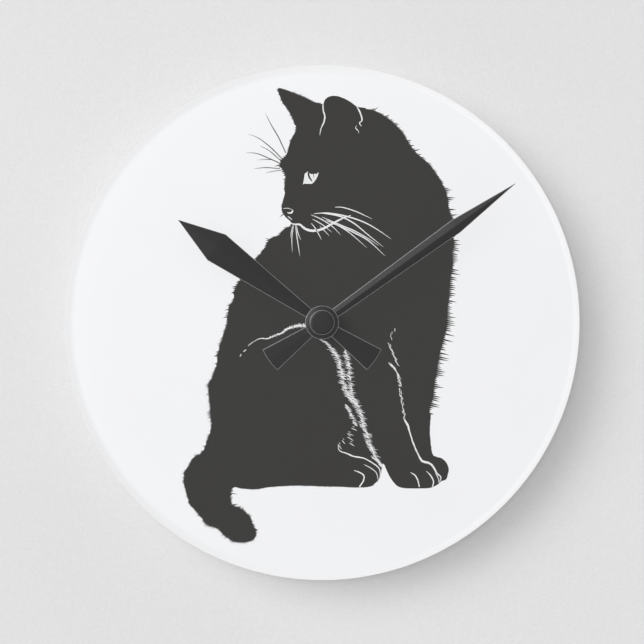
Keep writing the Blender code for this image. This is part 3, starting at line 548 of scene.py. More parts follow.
# Fur along the outline; the first row that matches a place is used:
# part, x between, z between, hair length from and to, chance of a long stray
# hair, lean of the hairs (x, z) added to the outward direction.
ANY = (-999, 999)
FUR = [
    ("ears", (0, 999), ANY, (0.02, 0.14), 0, (0.1, -0.35)),
    ("ears", (-999, -12), ANY, (0.02, 0.14), 0, (0.1, -0.35)),
    ("ears", ANY, ANY, (0.15, 0.75), 0, (0.1, -0.35)),
    ("back", ANY, (72, 999), (0.3, 1.5), 0.03, (0.9, -0.25)),
    ("back", ANY, (55, 999), (0.35, 1.6), 0.12, (0.8, -0.25)),
    ("back", ANY, (20, 999), (0.4, 2.3), 0.22, (0.9, -0.2)),
    ("back", ANY, (-36, 999), (0.5, 3.1), 0.24, (1.0, -0.2)),
    ("back", ANY, ANY, (0.05, 0.3), 0, (0.1, -0.3)),
    ("paw", ANY, ANY, (0.02, 0.12), 0, (0.1, -0.35)),
    ("foot", ANY, ANY, (0.08, 0.45), 0, (0.1, -0.35)),
    ("tail", (-38, -34), (-73, 999), (0.5, 1.8), 0.35, (0.8, -0.1)),
    ("tail", (-31, 999), ANY, (0.3, 1.2), 0, (0.5, -0.4)),
    ("tail", ANY, ANY, (0.25, 1.5), 0, (-0.3, -0.45)),
    ("haunch", ANY, ANY, (0.25, 1.7), 0, (-0.35, -0.6)),
    ("face", ANY, (56, 68), (0.3, 1.3), 0.08, (-0.4, -0.2)),
    ("face", ANY, (68, 999), (0.2, 0.9), 0, (-0.4, -0.2)),
    ("face", ANY, (-999, 52), (0.05, 0.35), 0, (-0.4, -0.2)),
    ("face", ANY, ANY, (0.12, 0.7), 0, (-0.4, -0.2)),
]
HAIR_STEP = 0.78                 # distance from hair to hair along the outline
CLUMP = 5                        # hairs to a clump
STRAY_EXTRA = 1.4                # most that a stray hair adds to the longest

# Lines inside the outline: (x, z) along each.
EYE = [(-5.6, 59.6), (-6.8, 58.7), (-7.1, 56.8), (-7.5, 54.5), (-6.8, 54.8), (-5.7, 54.7),
    (-4.0, 54.7), (-3.2, 55.4), (-2.3, 56.6), (-1.6, 58.0), (-1.3, 59.3), (-2.1, 58.6),
    (-3.0, 58.7), (-4.1, 58.5), (-4.9, 58.9)]
PUPIL = [(-5.4, 59.4), (-5.1, 57.5), (-3.9, 55.7)]
GLINT = [(-3.4, 58.8), (-3.2, 57.1)]
NOSTRIL_A = [(-15.5, 44.8), (-14.2, 45.1), (-12.8, 44.9), (-11.4, 44.4)]
NOSTRIL_B = [(-11.4, 44.4), (-12.2, 43.2), (-13.7, 43.4)]
MUZZLE_A = [(-13.6, 41.9), (-12.5, 41.2), (-11.8, 40.4)]
MUZZLE_B = [(-12.5, 39.3), (-11.2, 38.8), (-9.0, 38.7), (-7.8, 37.9), (-6.3, 36.8),
    (-3.8, 36.2), (-1.2, 36.5), (1.2, 37.4), (4.3, 39.1), (8.2, 41.1), (11.4, 42.3)]
EAR_A = [(0.4, 85.9), (0.5, 83.7), (1.1, 81.2), (0.7, 78.9), (-0.4, 76.5), (-0.9, 73.8)]
EAR_B = [(13.5, 85.7), (15.1, 82.7), (15.8, 79.8), (14.7, 78.7), (15.6, 77.5)]
EAR_C = [(13.7, 77.7), (13.2, 76.7), (14.2, 75.8), (14.6, 74.6)]
HIP = [(-6.2, -1.5), (-9.1, -1.2), (-11.2, -1.8), (-13.9, -2.6), (-15.4, -3.9),
    (-18.1, -4.9), (-21.3, -6.3), (-24.4, -6.3), (-27.1, -7.6), (-29.2, -9.2)]
HIP_B = [(-29.9, -10.7), (-30.5, -11.1), (-31.1, -11.6)]
HIP_C = [(-31.8, -12.4), (-32.1, -12.9), (-32.4, -13.5)]
LEG_A = [(-0.6, -6.8), (2.0, -8.1), (4.1, -10.8), (6.2, -13.9), (7.3, -17.1), (8.1, -20.8),
    (8.6, -24.0), (9.9, -27.1), (11.5, -30.3), (13.6, -32.4), (15.0, -35.1), (15.7, -38.2),
    (16.8, -41.4), (17.8, -44.0), (18.9, -47.7), (20.0, -50.9), (21.5, -54.1), (23.8, -56.9)]
LEG_B = [(9.4, -10.8), (9.9, -13.9), (10.7, -17.6), (11.0, -20.8), (11.5, -24.0),
    (11.5, -26.6), (12.3, -29.2), (13.6, -31.9)]
LEG_C = [(9.4, -32.4), (11.0, -35.1), (12.3, -38.2), (13.6, -40.6)]
# start and end of each short stroke in turn
HOCK = [(11.5, -41.7), (13.9, -42.7), (9.7, -43.8), (12.5, -44.6), (9.9, -45.1),
    (12.5, -46.7), (10.7, -47.5), (12.8, -48.8), (7.8, -46.4), (9.1, -48.0), (6.2, -48.0),
    (7.8, -50.1)]
FOOT_A = [(6.5, -48.1), (6.5, -49.9), (7.5, -50.9), (9.9, -51.7), (12.5, -52.8),
    (16.3, -53.5), (19.4, -55.1), (22.1, -57.0), (22.9, -58.8), (22.9, -61.0), (22.3, -62.3)]
FOOT_B = [(16.5, -56.0), (19.4, -57.5), (21.5, -59.4), (22.1, -62.0)]
TOE = [(12.5, -58.3), (14.7, -59.1), (16.5, -60.4), (16.3, -62.5), (14.7, -64.9)]
FORE_A = [(29.0, -2.6), (27.3, -4.9), (27.6, -6.5)]
FORE_B = [(26.6, -8.4), (27.9, -11.8), (30.0, -16.6)]
FORE_C = [(27.3, -16.6), (29.5, -19.2), (30.5, -22.9), (30.8, -25.6), (31.3, -29.2),
    (31.8, -32.4), (32.6, -37.7)]
FORE_D = [(32.5, -38.3), (33.7, -40.3), (34.8, -44.0), (36.3, -48.3), (37.9, -52.0),
    (39.5, -54.6), (42.1, -55.4), (43.7, -56.7), (45.3, -59.4), (46.9, -61.0), (46.4, -62.8)]
PAW_A = [(34.8, -59.1), (36.6, -60.2), (37.7, -62.0), (38.4, -64.9)]
PAW_B = [(41.1, -58.6), (42.9, -60.4), (44.0, -62.8), (43.5, -64.9)]
PAW_C = [(44.6, -59.1), (45.9, -61.5), (46.1, -63.1)]

# Thin white strokes of the head, whiskers first: width, points.
WHITE_WHISKERS = [
    (0.42, [(5.1, 45.5), (8.2, 45.4), (12.9, 44.0), (16.3, 42.5), (19.9, 40.8)]),
    (0.55, [(-3.3, 42.9), (2.0, 43.2), (9.2, 42.0), (16.3, 39.7), (22.1, 36.5), (27.3, 32.9)]),
    (0.5, [(-0.9, 43.2), (6.7, 42.0), (12.5, 39.2), (17.8, 34.9), (24.2, 29.8)]),
    (0.45, [(0.0, 41.6), (6.7, 38.7), (12.5, 36.3), (17.8, 33.4), (22.5, 30.3)]),
    (0.5, [(2.0, 40.1), (8.2, 37.5), (13.4, 35.1), (18.7, 32.0), (24.9, 26.2)]),
    (0.36, [(1.5, 40.5), (6.7, 38.1), (11.5, 34.9), (17.8, 29.4)]),
    (0.4, [(-4.3, 42.5), (0.0, 40.6), (4.3, 37.7), (7.5, 34.4)]),
    (0.36, [(-3.8, 40.8), (0.0, 38.7), (3.9, 35.6)]),
    (0.36, [(-4.3, 39.2), (-2.4, 36.8), (-0.1, 32.5)]),
    (0.3, [(-0.9, 38.0), (1.0, 36.2), (2.9, 34.1)]),
    # four that run down from the left end of the muzzle line
    (0.32, [(-11.2, 38.4), (-11.9, 33.4), (-11.7, 27.7)]),
    (0.4, [(-10.5, 38.5), (-9.7, 32.5), (-8.7, 26.2)]),
    (0.34, [(-10.1, 38.4), (-9.5, 35.4), (-8.3, 32.5)]),
    (0.25, [(-11.4, 38.5), (-12.2, 35.4), (-12.3, 33.3)]),
]
# Dark whiskers that run out over the white: width, points.
DARK_WHISKERS = [
    (0.36, [(-14.3, 66.9), (-17.2, 73.1), (-20.0, 77.9), (-22.4, 82.7)]),
    (0.36, [(-15.5, 64.3), (-20.5, 69.3), (-25.3, 72.9), (-29.1, 74.3)]),
    (0.32, [(-16.0, 63.6), (-21.0, 67.9), (-24.8, 69.8)]),
    (0.36, [(-16.4, 62.7), (-21.0, 64.8), (-25.8, 66.7), (-30.1, 67.0)]),
    (0.22, [(-17.4, 63.3), (-20.5, 64.3), (-25.8, 64.1)]),
    (0.3, [(-16.6, 60.7), (-21.9, 61.1), (-27.0, 60.7)]),
    (0.22, [(-16.0, 60.1), (-19.7, 59.6), (-22.4, 58.9)]),
    (0.28, [(-15.0, 42.8), (-15.9, 42.3), (-16.8, 41.6)]),
]

# Pen strokes: points, width, share of the width left at the start and at the
# end, unevenness of the two edges.
MUZZLE_STROKES = [
    (NOSTRIL_A, 0.24, 0.3, 0.3, 0), (NOSTRIL_B, 0.72, 0.3, 0.3, 0),
    (MUZZLE_A, 0.36, 0.3, 0.3, 0), (MUZZLE_B, 0.95, 0.45, 0.25, 0.3)]
EAR_AND_HIP_STROKES = [
    (EAR_A, 0.55, 0.8, 0.15, 0.5), (EAR_B, 0.56, 0.5, 0.4, 0.4), (EAR_C, 0.34, 0.4, 0.3, 0.6),
    (HIP[:6], 0.72, 1.0, 0.35, 0.6), (HIP[5:9], 0.42, 0.6, 0.3, 0.7),
    (HIP[8:], 0.34, 0.5, 0.4, 0.6), (HIP_B, 0.4, 0.3, 0.3, 0), (HIP_C, 0.4, 0.3, 0.3, 0)]
FOOT_STROKES = [
    (FOOT_A, 0.52, 0.3, 0.5, 0.4), (FOOT_A[4:8], 0.26, 0.3, 0.3, 0.4),
    (FOOT_B, 0.32, 0.3, 0.6, 0.3), (TOE, 0.54, 0.2, 0.85, 0.3)]
FRONT_PAW_STROKES = [
    (FORE_D[:6], 0.55, 0.9, 0.8, 0.6), (FORE_D[:3], 0.7, 0.9, 0.3, 0.8),
    (FORE_D[4:9], 0.88, 0.45, 0.5, 0.3), (FORE_D[7:], 0.5, 0.8, 0.5, 0.3),
    (PAW_A, 0.5, 0.2, 0.8, 0.25), (PAW_B, 0.46, 0.2, 0.8, 0.25), (PAW_C, 0.3, 0.2, 0.8, 0.25)]
PUPIL_STROKES = [(PUPIL, 0.72, 0.7, 0.4, 0), (GLINT, 0.28, 0.9, 0.3, 0)]


def catmull(p0, p1, p2, p3, t):
    """Point at t along the Catmull-Rom spline from p1 to p2."""
    return tuple(0.5 * (2 * b + (c - a) * t + (2 * a - 5 * b + 4 * c - e) * t * t
                        + (3 * b - a - 3 * c + e) * t ** 3)
                 for a, b, c, e in zip(p0, p1, p2, p3))


def unit(x, z):
    length = math.hypot(x, z)
    return x / length, z / length


def outline_samples():
    """The smooth silhouette as (x, z, part) at even steps."""
    control = [(spot, part) for part, run in OUTLINE for spot in run]
    count = len(control)
    dense = []
    for i, (_, part) in enumerate(control):
        around = [control[(i + k) % count][0] for k in (-1, 0, 1, 2)]
        dense += [(catmull(*around, s / 10), part) for s in range(10)]
    samples = []
    ahead = 0.0                  # distance to the next sample
    for i, ((x0, z0), part) in enumerate(dense):
        x1, z1 = dense[(i + 1) % len(dense)][0]
        segment = math.hypot(x1 - x0, z1 - z0)
        while ahead <= segment:
            share = ahead / segment
            samples.append((x0 + (x1 - x0) * share, z0 + (z1 - z0) * share, part))
            ahead += HAIR_STEP
        ahead -= segment
    return samples


def fur_at(part, x, z):
    return next(row[3:] for row in FUR
                if row[0] == part and row[1][0] < x < row[1][1] and row[2][0] < z < row[2][1])


def fur_outline(rng):
    """The silhouette, walked in short steps with a hair drawn at each one."""
    samples = outline_samples()
    count = len(samples)
    # fur gathers in clumps: a slow wave of random heights along the walk
    knots = [rng.random() for _ in range(count // CLUMP + 2)]
    knots[-1] = knots[0]

    def clump(i):
        k, share = divmod(i / CLUMP, 1.0)
        share = share * share * (3 - 2 * share)
        here, there = knots[int(k) % len(knots)], knots[(int(k) + 1) % len(knots)]
        return here + (there - here) * share

    outline = []
    for i, (x, z, part) in enumerate(samples):
        before, after = samples[i - 1], samples[(i + 1) % count]
        tx, tz = unit(after[0] - before[0], after[1] - before[1])
        nx, nz = -tz, tx         # outward for a clockwise walk
        (low, high), stray, lean = fur_at(part, x, z)
        shaggy = part in ("tail", "haunch")
        swell = clump(i)
        if shaggy:
            length = low + 1.25 * (high - low) * (0.35 + 0.75 * swell) * rng.random()
        else:
            length = low + (high - low) * (0.55 + 0.9 * swell) * rng.random() ** 1.4
        if rng.random() < stray:
            length = high + rng.random() * STRAY_EXTRA
        hair_x, hair_z = unit(nx + lean[0], nz + lean[1])
        if hair_x * nx + hair_z * nz < 0.35:     # keep hairs outside the body
            hair_x, hair_z = unit(nx + 0.5 * tx, nz + 0.5 * tz)
        # how far the root sits inside the edge
        if shaggy:
            dip = 0.7 - 1.15 * swell + rng.uniform(-0.1, 0.1)
            dip += rng.uniform(-0.22, 0.22)
            along = rng.uniform(-0.25, 0.25)
            x, z = x + tx * along, z + tz * along
        else:
            dip = 0.28 * high if high > 0.5 else 0.0
        x, z = x - nx * dip, z - nz * dip
        outline.append((x, z))
        outline.append((x + tx * HAIR_STEP * 0.5 + hair_x * length,
                        z + tz * HAIR_STEP * 0.5 + hair_z * length))
    return outline


def follow(points, spacing):
    """Open spline through the points, resampled by length."""
    padded = [points[0], *points, points[-1]]
    dense = [catmull(*padded[i - 1:i + 3], s / 12)
             for i in range(1, len(padded) - 2) for s in range(12)]
    dense.append(points[-1])
    total = sum(math.dist(a, b) for a, b in zip(dense, dense[1:]))
    count = max(int(round(total / spacing)), 2)
    path, passed, i = [dense[0]], 0.0, 0
    for k in range(1, count):
        wanted = total * k / count
        while passed + math.dist(dense[i], dense[i + 1]) < wanted:
            passed += math.dist(dense[i], dense[i + 1])
            i += 1
        share = (wanted - passed) / math.dist(dense[i], dense[i + 1])
        path.append(tuple(a + (b - a) * share for a, b in zip(dense[i], dense[i + 1])))
    return path + [dense[-1]]


class Pen:
    """Tapered strokes between two depths, each a closed sliver. They cycle
    through nine hair-thin levels, so that crossing strokes don't coincide."""

    def __init__(self, back, front, rng):
        self.bm = bmesh.new()
        self.back, self.front, self.rng = back, front, rng
        self.count = 0

    def levels(self):
        lift = (self.count % 9) * 0.002
        self.count += 1
        return self.back + lift, self.front + lift

    def near(self, value, spread):
        return value + self.rng.uniform(-spread, spread)

    def stroke(self, points, width, start, end, wobble=0.0, spacing=0.6):
        path = follow(points, spacing)
        last = len(path) - 1
        left, right = [], []
        for i, (x, z) in enumerate(path):
            before, after = path[max(i - 1, 0)], path[min(i + 1, last)]
            tx, tz = unit(after[0] - before[0], after[1] - before[1])
            t = i / last
            half = 1.0
            if t < 0.5:
                half = min(half, start + (1 - start) * math.sin(min(t / 0.35, 1) * math.pi / 2))
            if t > 0.35:
                fade = math.cos((t - 0.35) / 0.65 * math.pi / 2) ** 0.8
                half = min(half, end + (1 - end) * fade)
            half *= width / 2
            uneven = [1 + wobble * (self.rng.random() - 0.5) if wobble else 1
                      for _ in range(2)]
            left.append((x - tz * half * uneven[0], z + tx * half * uneven[0]))
            right.append((x + tz * half * uneven[1], z - tx * half * uneven[1]))
        self.sliver(left, right)

    def strokes(self, table):
        for points, width, start, end, wobble in table:
            self.stroke(points, width, start, end, wobble)

    def sliver(self, left, right):
        """A ribbon between two edges, closed front, back and sides."""
        back, front = self.levels()
        rows = []
        for (lx, lz), (rx, rz) in zip(left, right):
            rows.append([self.bm.verts.new(point(x, d, z)) for x, z, d in (
                (lx, lz, back), (lx, lz, front), (rx, rz, front), (rx, rz, back))])
        for first, second in zip(rows, rows[1:]):
            bridge(self.bm, first, second)
        self.bm.faces.new(rows[0][::-1])
        self.bm.faces.new(rows[-1])

    def hair(self, x, z, angle, length, width):
        """A short stroke centred on (x, z), slightly bowed."""
        angle = math.radians(angle)
        dx, dz = math.cos(angle) * length / 2, math.sin(angle) * length / 2
        self.stroke([(x - dx, z - dz), (x + dz * 0.06, z - dx * 0.06), (x + dx, z + dz)],
                    width, start=0.1, end=0.1, spacing=length / 4)

    def patch(self, outline):
        low, high = [[self.bm.verts.new(point(x, d, z)) for x, z in outline]
                     for d in self.levels()]
        for i in range(len(outline)):
            self.bm.faces.new((low[i - 1], low[i], high[i], high[i - 1]))
        self.bm.faces.new(low[::-1])
        self.bm.faces.new(high)


def hip_fur(pen):
    """Fur on the line of the hip, thickest by the hub."""
    vary = pen.rng.uniform
    for i, (x, z) in enumerate(follow(HIP, spacing=0.42)[:38]):
        pen.hair(pen.near(x, 0.2), z + vary(-0.25, 0.4), angle=vary(62, 100),
                 length=vary(0.7, 1.0) * (2.1 - 0.04 * i), width=0.32)


def hind_leg_fur(pen):
    """The furry line of the hind leg: strands of short hairs laid across it."""
    vary = pen.rng.uniform
    # line, width of the strand, share of gaps, phase of the gaps, whether the
    # lower end steepens
    for line, wide, gap, phase, steepens in ((LEG_A, 3.8, 0.05, 0.0, True),
                                             (LEG_B, 3.3, 0.10, 2.0, False),
                                             (LEG_C, 2.5, 0.16, 4.0, False)):
        path = follow(line, spacing=0.15)
        for i, (x, z) in enumerate(path):
            t = i / len(path)
            if pen.rng.random() < gap + 0.3 * (1 + math.sin(i * 0.21 + phase)) / 2:
                continue
            low = max(0.0, (t - 0.62) / 0.38) if steepens else 0.0
            grow = min(1.0, 0.4 + t * 6) * (1 + 0.2 * low) * (1 - 0.5 * max(0, t - 0.93) / 0.07)
            side = wide * grow
            pen.hair(x + vary(-0.22, 0.22) * side, pen.near(z, 0.15),
                     angle=vary(-38, 2) - 26 * low, length=side * vary(0.3, 1.0),
                     width=vary(0.10, 0.24))
            if pen.rng.random() < 0.45 + 0.3 * low:      # the denser heart of the strand
                pen.hair(pen.near(x, 0.3), z, angle=vary(-60, -20) - 15 * low,
                         length=vary(0.6, 1.2), width=vary(0.16, 0.3))


def hock_strokes(pen):
    """Short strokes in pairs, the second a little higher and thinner."""
    for first, last in zip(HOCK[::2], HOCK[1::2]):
        middle = ((first[0] + last[0]) / 2, (first[1] + last[1]) / 2 + 0.08)
        pen.stroke([first, middle, last], width=0.28, start=0.2, end=0.15, spacing=0.4)
        pen.stroke([(first[0] + 0.5, first[1] + 0.75), (middle[0] + 0.3, middle[1] + 0.75)],
                   width=0.2, start=0.2, end=0.15, spacing=0.4)


def foreleg_fur(pen):
    """The near foreleg: broken dabs that close into a line by the paw."""
    vary = pen.rng.uniform
    for x, z in follow(FORE_A, spacing=0.9):
        pen.hair(pen.near(x, 0.3), z, angle=pen.near(-70, 12), length=1.0, width=0.24)
    for x, z in follow(FORE_B, spacing=0.62):
        pen.hair(pen.near(x, 0.35), z, angle=pen.near(-60, 8), length=vary(1.2, 1.9),
                 width=0.27)
    path = follow(FORE_C, spacing=0.5)
    for i, (x, z) in enumerate(path):
        t = i / len(path)
        if t < 0.2:
            pen.hair(pen.near(x, 0.4), z, angle=pen.near(-56, 10), length=vary(1.6, 2.6),
                     width=vary(0.26, 0.4))
        elif t < 0.42:
            for _ in range(2):
                pen.hair(pen.near(x, 0.5), pen.near(z, 0.2), angle=vary(-80, -15),
                         length=vary(0.8, 1.7), width=vary(0.16, 0.32))
        elif pen.rng.random() < 0.8:
            for _ in range(2):
                pen.hair(pen.near(x, 0.45), pen.near(z, 0.2), angle=vary(-95, -30),
                         length=vary(0.6, 1.4), width=vary(0.14, 0.3))


def silhouette(rng):
    hole = []
    for k in range(64):
        angle = math.radians(360 * k / 64)
        hole.append((BLACK_HOLE * math.cos(angle), BLACK_HOLE * math.sin(angle)))
    bm = bmesh.new()
    plate(bm, [fur_outline(rng), hole], PRINT_BACK, PRINT_FRONT)
    piece("cat_silhouette", bm, BLACK_INK, "cat_print")


def white_lines(rng):
    """White lines left open in the black."""
    pen = Pen(PRINT_FRONT + 0.012, PRINT_FRONT + 0.045, rng)
    pen.patch(EYE)
    pen.strokes(MUZZLE_STROKES)
    for width, points in WHITE_WHISKERS:
        pen.stroke(points, width, start=0.35, end=0.12)
    pen.strokes(EAR_AND_HIP_STROKES)
    hip_fur(pen)
    hind_leg_fur(pen)
    hock_strokes(pen)
    pen.strokes(FOOT_STROKES)
    foreleg_fur(pen)
    pen.strokes(FRONT_PAW_STROKES)
    piece("cat_white_lines", pen.bm, LINE_WHITE)


def dark_lines(rng):
    pen = Pen(PRINT_BACK + 0.02, PRINT_FRONT, rng)
    for width, points in DARK_WHISKERS:
        pen.stroke(points, width, start=0.9, end=0.1)
    piece("cat_whiskers", pen.bm, BLACK_INK)
    pen = Pen(PRINT_FRONT + 0.068, PRINT_FRONT + 0.085, rng)
    pen.strokes(PUPIL_STROKES)
    piece("cat_pupil", pen.bm, BLACK_INK)


def cat():
    rng = random.Random(11)
    silhouette(rng)
    white_lines(rng)
    dark_lines(rng)


# ------------------------------------------------------------------ the hands
HAND_THICK = 0.3                 # thickness at the edges of a blade
EDGE_BEVEL = 0.19
ROW_STEPS = 14                   # steps across the front of a blade
STATION_STEP = 1.2               # least distance between cross rows
TAIL_RADIUS, TAIL_HALF = 25.6, 4.95      # arc that ends the tail, its half width
TAIL_CHORD = math.sqrt(TAIL_RADIUS ** 2 - TAIL_HALF ** 2)
NECK = (-5.0, 2.15)              # station behind the hub where the tail is narrowest


def bare_and_highlight_rim(bm, radius, d):
    """Turned edge in front of depth d and outside the radius shows bare metal, made light grey as a
    painted edge highlight.
    """
    for face in bm.faces:
        centre = face.calc_center_median()
        if math.hypot(centre.x, centre.z) > radius and -centre.y > d:
            face.material_index = 1


def hand_row(bm, reach, half, bend, back, ridge):
    """One closed cross row of a hand: flat back, front rising to the middle.
    bend is how far it follows the arc of the tail's end, from 0 to 1."""
    top = back + HAND_THICK
    # the ridge fades out behind the hub, where the tail is nearly flat
    rise = ridge * min(1.0, max(0.12, (reach + 9.0) / 8.0))
    bevel = min(EDGE_BEVEL, half * 0.3)
    steps = ROW_STEPS // 2
    left = [-half + bevel + (half - bevel) * k / steps for k in range(steps + 1)]
    across = left + [-x for x in left[-2::-1]]
    low, high = back + bevel * 0.5, top - bevel * 0.4
    profile = [(-half, low), (-half, high)]
    profile += [(x, top + rise * (half - abs(x))) for x in across]
    profile += [(half, high), (half, low)]
    profile += [(x, back) for x in across[::-1]]
    row = []
    for x, d in profile:
        push = bend * (math.sqrt(TAIL_RADIUS ** 2 - x * x) - TAIL_CHORD)
        row.append(bm.verts.new(point(x, d, reach - push)))
    return row


def hand_path(stations, tip):
    """Stations from the tail to the tip, filled in at even steps."""
    full = [(-TAIL_CHORD, TAIL_HALF), NECK, *stations, (tip, 0.06)]
    path = []
    for (u0, w0), (u1, w1) in zip(full, full[1:]):
        steps = max(2, int((u1 - u0) / STATION_STEP))
        path += [(u0 + (u1 - u0) * k / steps, w0 + (w1 - w0) * k / steps)
                 for k in range(steps)]
    return path + [full[-1]]


def hand_blade(bm, stations, tip, back, ridge):
    path = hand_path(stations, tip)
    tail_rows = sum(1 for reach, _ in path if reach < NECK[0])
    rows = [hand_row(bm, reach, half, max(0.0, 1 - i / tail_rows), back, ridge)
            for i, (reach, half) in enumerate(path)]
    for first, second in zip(rows, rows[1:]):
        faces = bridge(bm, first, second)
        for k in (1, ROW_STEPS + 2):         # the bevels on both sides are bare metal with a painted highlight
            faces[k].material_index = 1
    # the tail's end: a narrow bare strip with a painted highlight along the arc, then the end face
    end = rows[0]
    inset = [bm.verts.new(v.co) for v in end]
    for outer, inner in zip(end, inset):
        if outer.co.y < -(back + HAND_THICK * 0.5):
            outer.co.z += EDGE_BEVEL
            inner.co.y = min(inner.co.y + EDGE_BEVEL * 0.6, -back)
    for face in bridge(bm, inset, end):
        face.material_index = 1
    bm.faces.new(inset[::-1])
    bm.faces.new(rows[-1])


def hand_hub(bm, radius, bore, back, front):
    """Disc with a turned, rounded rim."""
    lathe(bm, [(bore * 0.5, back - 0.1), (radius - 0.08, back - 0.1), (radius, back - 0.02),
               (radius, front - 0.14), (radius - 0.05, front - 0.06), (radius - 0.2, front),
               (bore * 0.5, front)], 160)
    # the turned rim is bare metal with a painted highlight
    bare_and_highlight_rim(bm, radius - 0.21, front - 0.15)


def hand(name, *, stands_for, body, paint, stations, tip, back, ridge, hub_radius, hub_front,
         bore, turn):
    """A faceted hand, drawn pointing up and then turned.

    stations: (distance from the axis, half width) in front of the neck. ridge
    is the rise of the front per mm towards the middle; bore is a radius."""
    materials = (paint, HAND_EDGE_BARE_AND_HIGHLIGHT)
    bm = bmesh.new()
    hand_blade(bm, stations, tip, back, ridge)
    blade = loose(name, bm, materials)
    bm = bmesh.new()
    hand_hub(bm, hub_radius, bore, back, hub_front)
    boolean(blade, loose("hub", bm, materials), "UNION")
    bm = bmesh.new()
    lathe(bm, [(0, back - 2), (bore, back - 2), (bore, hub_front + 3), (0, hub_front + 3)], 96)
    boolean(blade, loose("drill", bm, materials), "DIFFERENCE")
    weld(blade)
    blade.visible_shadow = False     # lit so evenly that the dial shows no shadow
    settle(blade, body, stands_for, sharp=24, turn=turn)


def hub_cap():
    """Flat cap on the front of the shaft, its turned edge bare metal with a painted highlight."""
    bm = bmesh.new()
    lathe(bm, [(0, 32.5), (4.82, 32.5), (4.87, 32.55), (4.87, 34.3), (4.83, 34.4),
               (4.68, 34.48), (3.9, 34.585), (3.3, 34.6), (0, 34.6)], 144)
    bare_and_highlight_rim(bm, 4.7, 34.28)
    cap = loose("hub_cap", bm, (CAP_BLACK, HAND_EDGE_BARE_AND_HIGHLIGHT))
    cap.visible_shadow = False
    settle(cap, "minute_group", "cap_nut", sharp=40)


def hands():
    hand("hour_hand_fine", stands_for="hour_hand", body="hour_group", paint=HOUR_BLACK,
         stations=[(5.0, 1.8), (50.8, 6.2)], tip=69.3, back=29.1, ridge=0.08,
         hub_radius=6.0, hub_front=29.95, bore=3.4, turn=-54.5)
    hand("minute_hand_fine", stands_for="minute_hand", body="minute_group", paint=HAND_BLACK,
         stations=[(5.0, 1.9), (64.5, 2.95)], tip=93.3, back=31.45, ridge=0.18,
         hub_radius=6.6, hub_front=32.35, bore=2.7, turn=54.3)
    hub_cap()


# ------------------------------------------------------------------- movement
CELL_Z, CELL_D = -19.0, 8.4      # axis of the cell, which lies along x
CELL_LEFT, CELL_RIGHT = -26.0, 24.5
SLEEVE_RADIUS = 7.25
SLEEVE_START, SLEEVE_LENGTH, SLEEVE_STEPS = 3.4, 43.6, 12    # start is from the left end
BAND_END = 14.6                  # from the left end
# (radius, distance in from the end): the button, the cap and the folded sleeve
CELL_LEFT_END = [
    (0, 0), (2.2, 0), (2.55, 0.06), (2.72, 0.25), (2.75, 0.5), (2.75, 0.86), (2.95, 1.02),
    (3.4, 1.1), (5.6, 1.1), (5.62, 0.98), (6.35, 0.98), (6.8, 1.08), (7.1, 1.4), (7.2, 1.9),
    (7.08, 2.5), (7.08, 2.9), (SLEEVE_RADIUS, SLEEVE_START)]
CELL_RIGHT_END = [
    (SLEEVE_RADIUS, 1.2), (7.2, 0.75), (7.0, 0.42), (6.6, 0.28), (5.9, 0.26), (5.86, 0.38),
    (5.2, 0.38), (4.9, 0.1), (4.7, 0), (0, 0)]


def on_cell_axis(across, up, along):
    return point(along, CELL_D + across, CELL_Z + up)


def dry_cell():
    """AA cell: a printed sleeve folded over both ends, a pressed steel cap
    with its button at the left, a bare can bottom at the right."""
    wall = [(SLEEVE_RADIUS, CELL_LEFT + SLEEVE_START + SLEEVE_LENGTH * k / SLEEVE_STEPS)
            for k in range(1, SLEEVE_STEPS + 1)]
    wall.insert(3, (SLEEVE_RADIUS, CELL_LEFT + BAND_END))
    profile = [(radius, CELL_LEFT + inset) for radius, inset in CELL_LEFT_END] + wall
    profile += [(radius, CELL_RIGHT - inset) for radius, inset in CELL_RIGHT_END]
    bm = bmesh.new()
    lathe(bm, profile, 112, on_cell_axis)
    for face in bm.faces:
        centre = face.calc_center_median()
        radius = math.hypot(-centre.y - CELL_D, centre.z - CELL_Z)
        steel_left = centre.x < CELL_LEFT + 1.12 and radius < 5.61
        steel_right = centre.x > CELL_RIGHT - 0.39 and radius < 5.9
        if steel_left or steel_right:
            face.material_index = 2
        elif centre.x < CELL_LEFT + BAND_END:
            face.material_index = 1
    cell = loose("dry_cell", bm, (JACKET, JACKET_BAND, SPRING))
    settle(cell, "battery_group", "aa_battery", sharp=34)


# Finishes by the name of a CAD part, then by the name of its CAD material.
PART_FINISHES = {
    "gear_plate": PLATE_WHITE, "setting_knob": KNOB_BLACK, "ic_chip": CHIP,
    "battery_spring": SPRING, "friction_spring": SPRING, "quartz_crystal": SPRING,
}
SLOT_FINISHES = {
    "acrylic": ACRYLIC, "white_ink": WHITE_INK, "black_ink": BLACK_INK,
    "hand_black": HAND_BLACK, "case_black": CASE_BLACK, "gear_white": ACETAL,
    "bobbin_grey": BOBBIN, "brass": BRASS, "steel": STEEL, "magnet": MAGNET,
    "copper": COPPER, "board_green": BOARD, "rubber": RUBBER, "cell_jacket": CHIP,
}


def finish_cad_nodes():
    """The movement's own parts keep their shapes and get real finishes."""
    for name, ob in nodes.items():
        slots = ob.data.materials
        old = slots[0].name.split(".")[0] if slots and slots[0] else ""
        new = PART_FINISHES.get(name) or SLOT_FINISHES.get(old, STEEL)
        if slots:
            for i in range(len(slots)):
                slots[i] = new
        else:
            slots.append(new)


# ----------------------------------------------------------- room and lights
ROOM_HALF, ROOM_HEIGHT = 4, 5
FLOOR_Z = -0.17
WALL_Y = 0.0004                  # a hair behind d = 0
AIM = (0, -0.02, 0)              # the front lights look at the dial


def linear_grey(screen):
    """A grey given as a screen value up to 255, as linear light."""
    return (((screen / 255 + 0.055) / 1.055) ** 2.4,) * 3


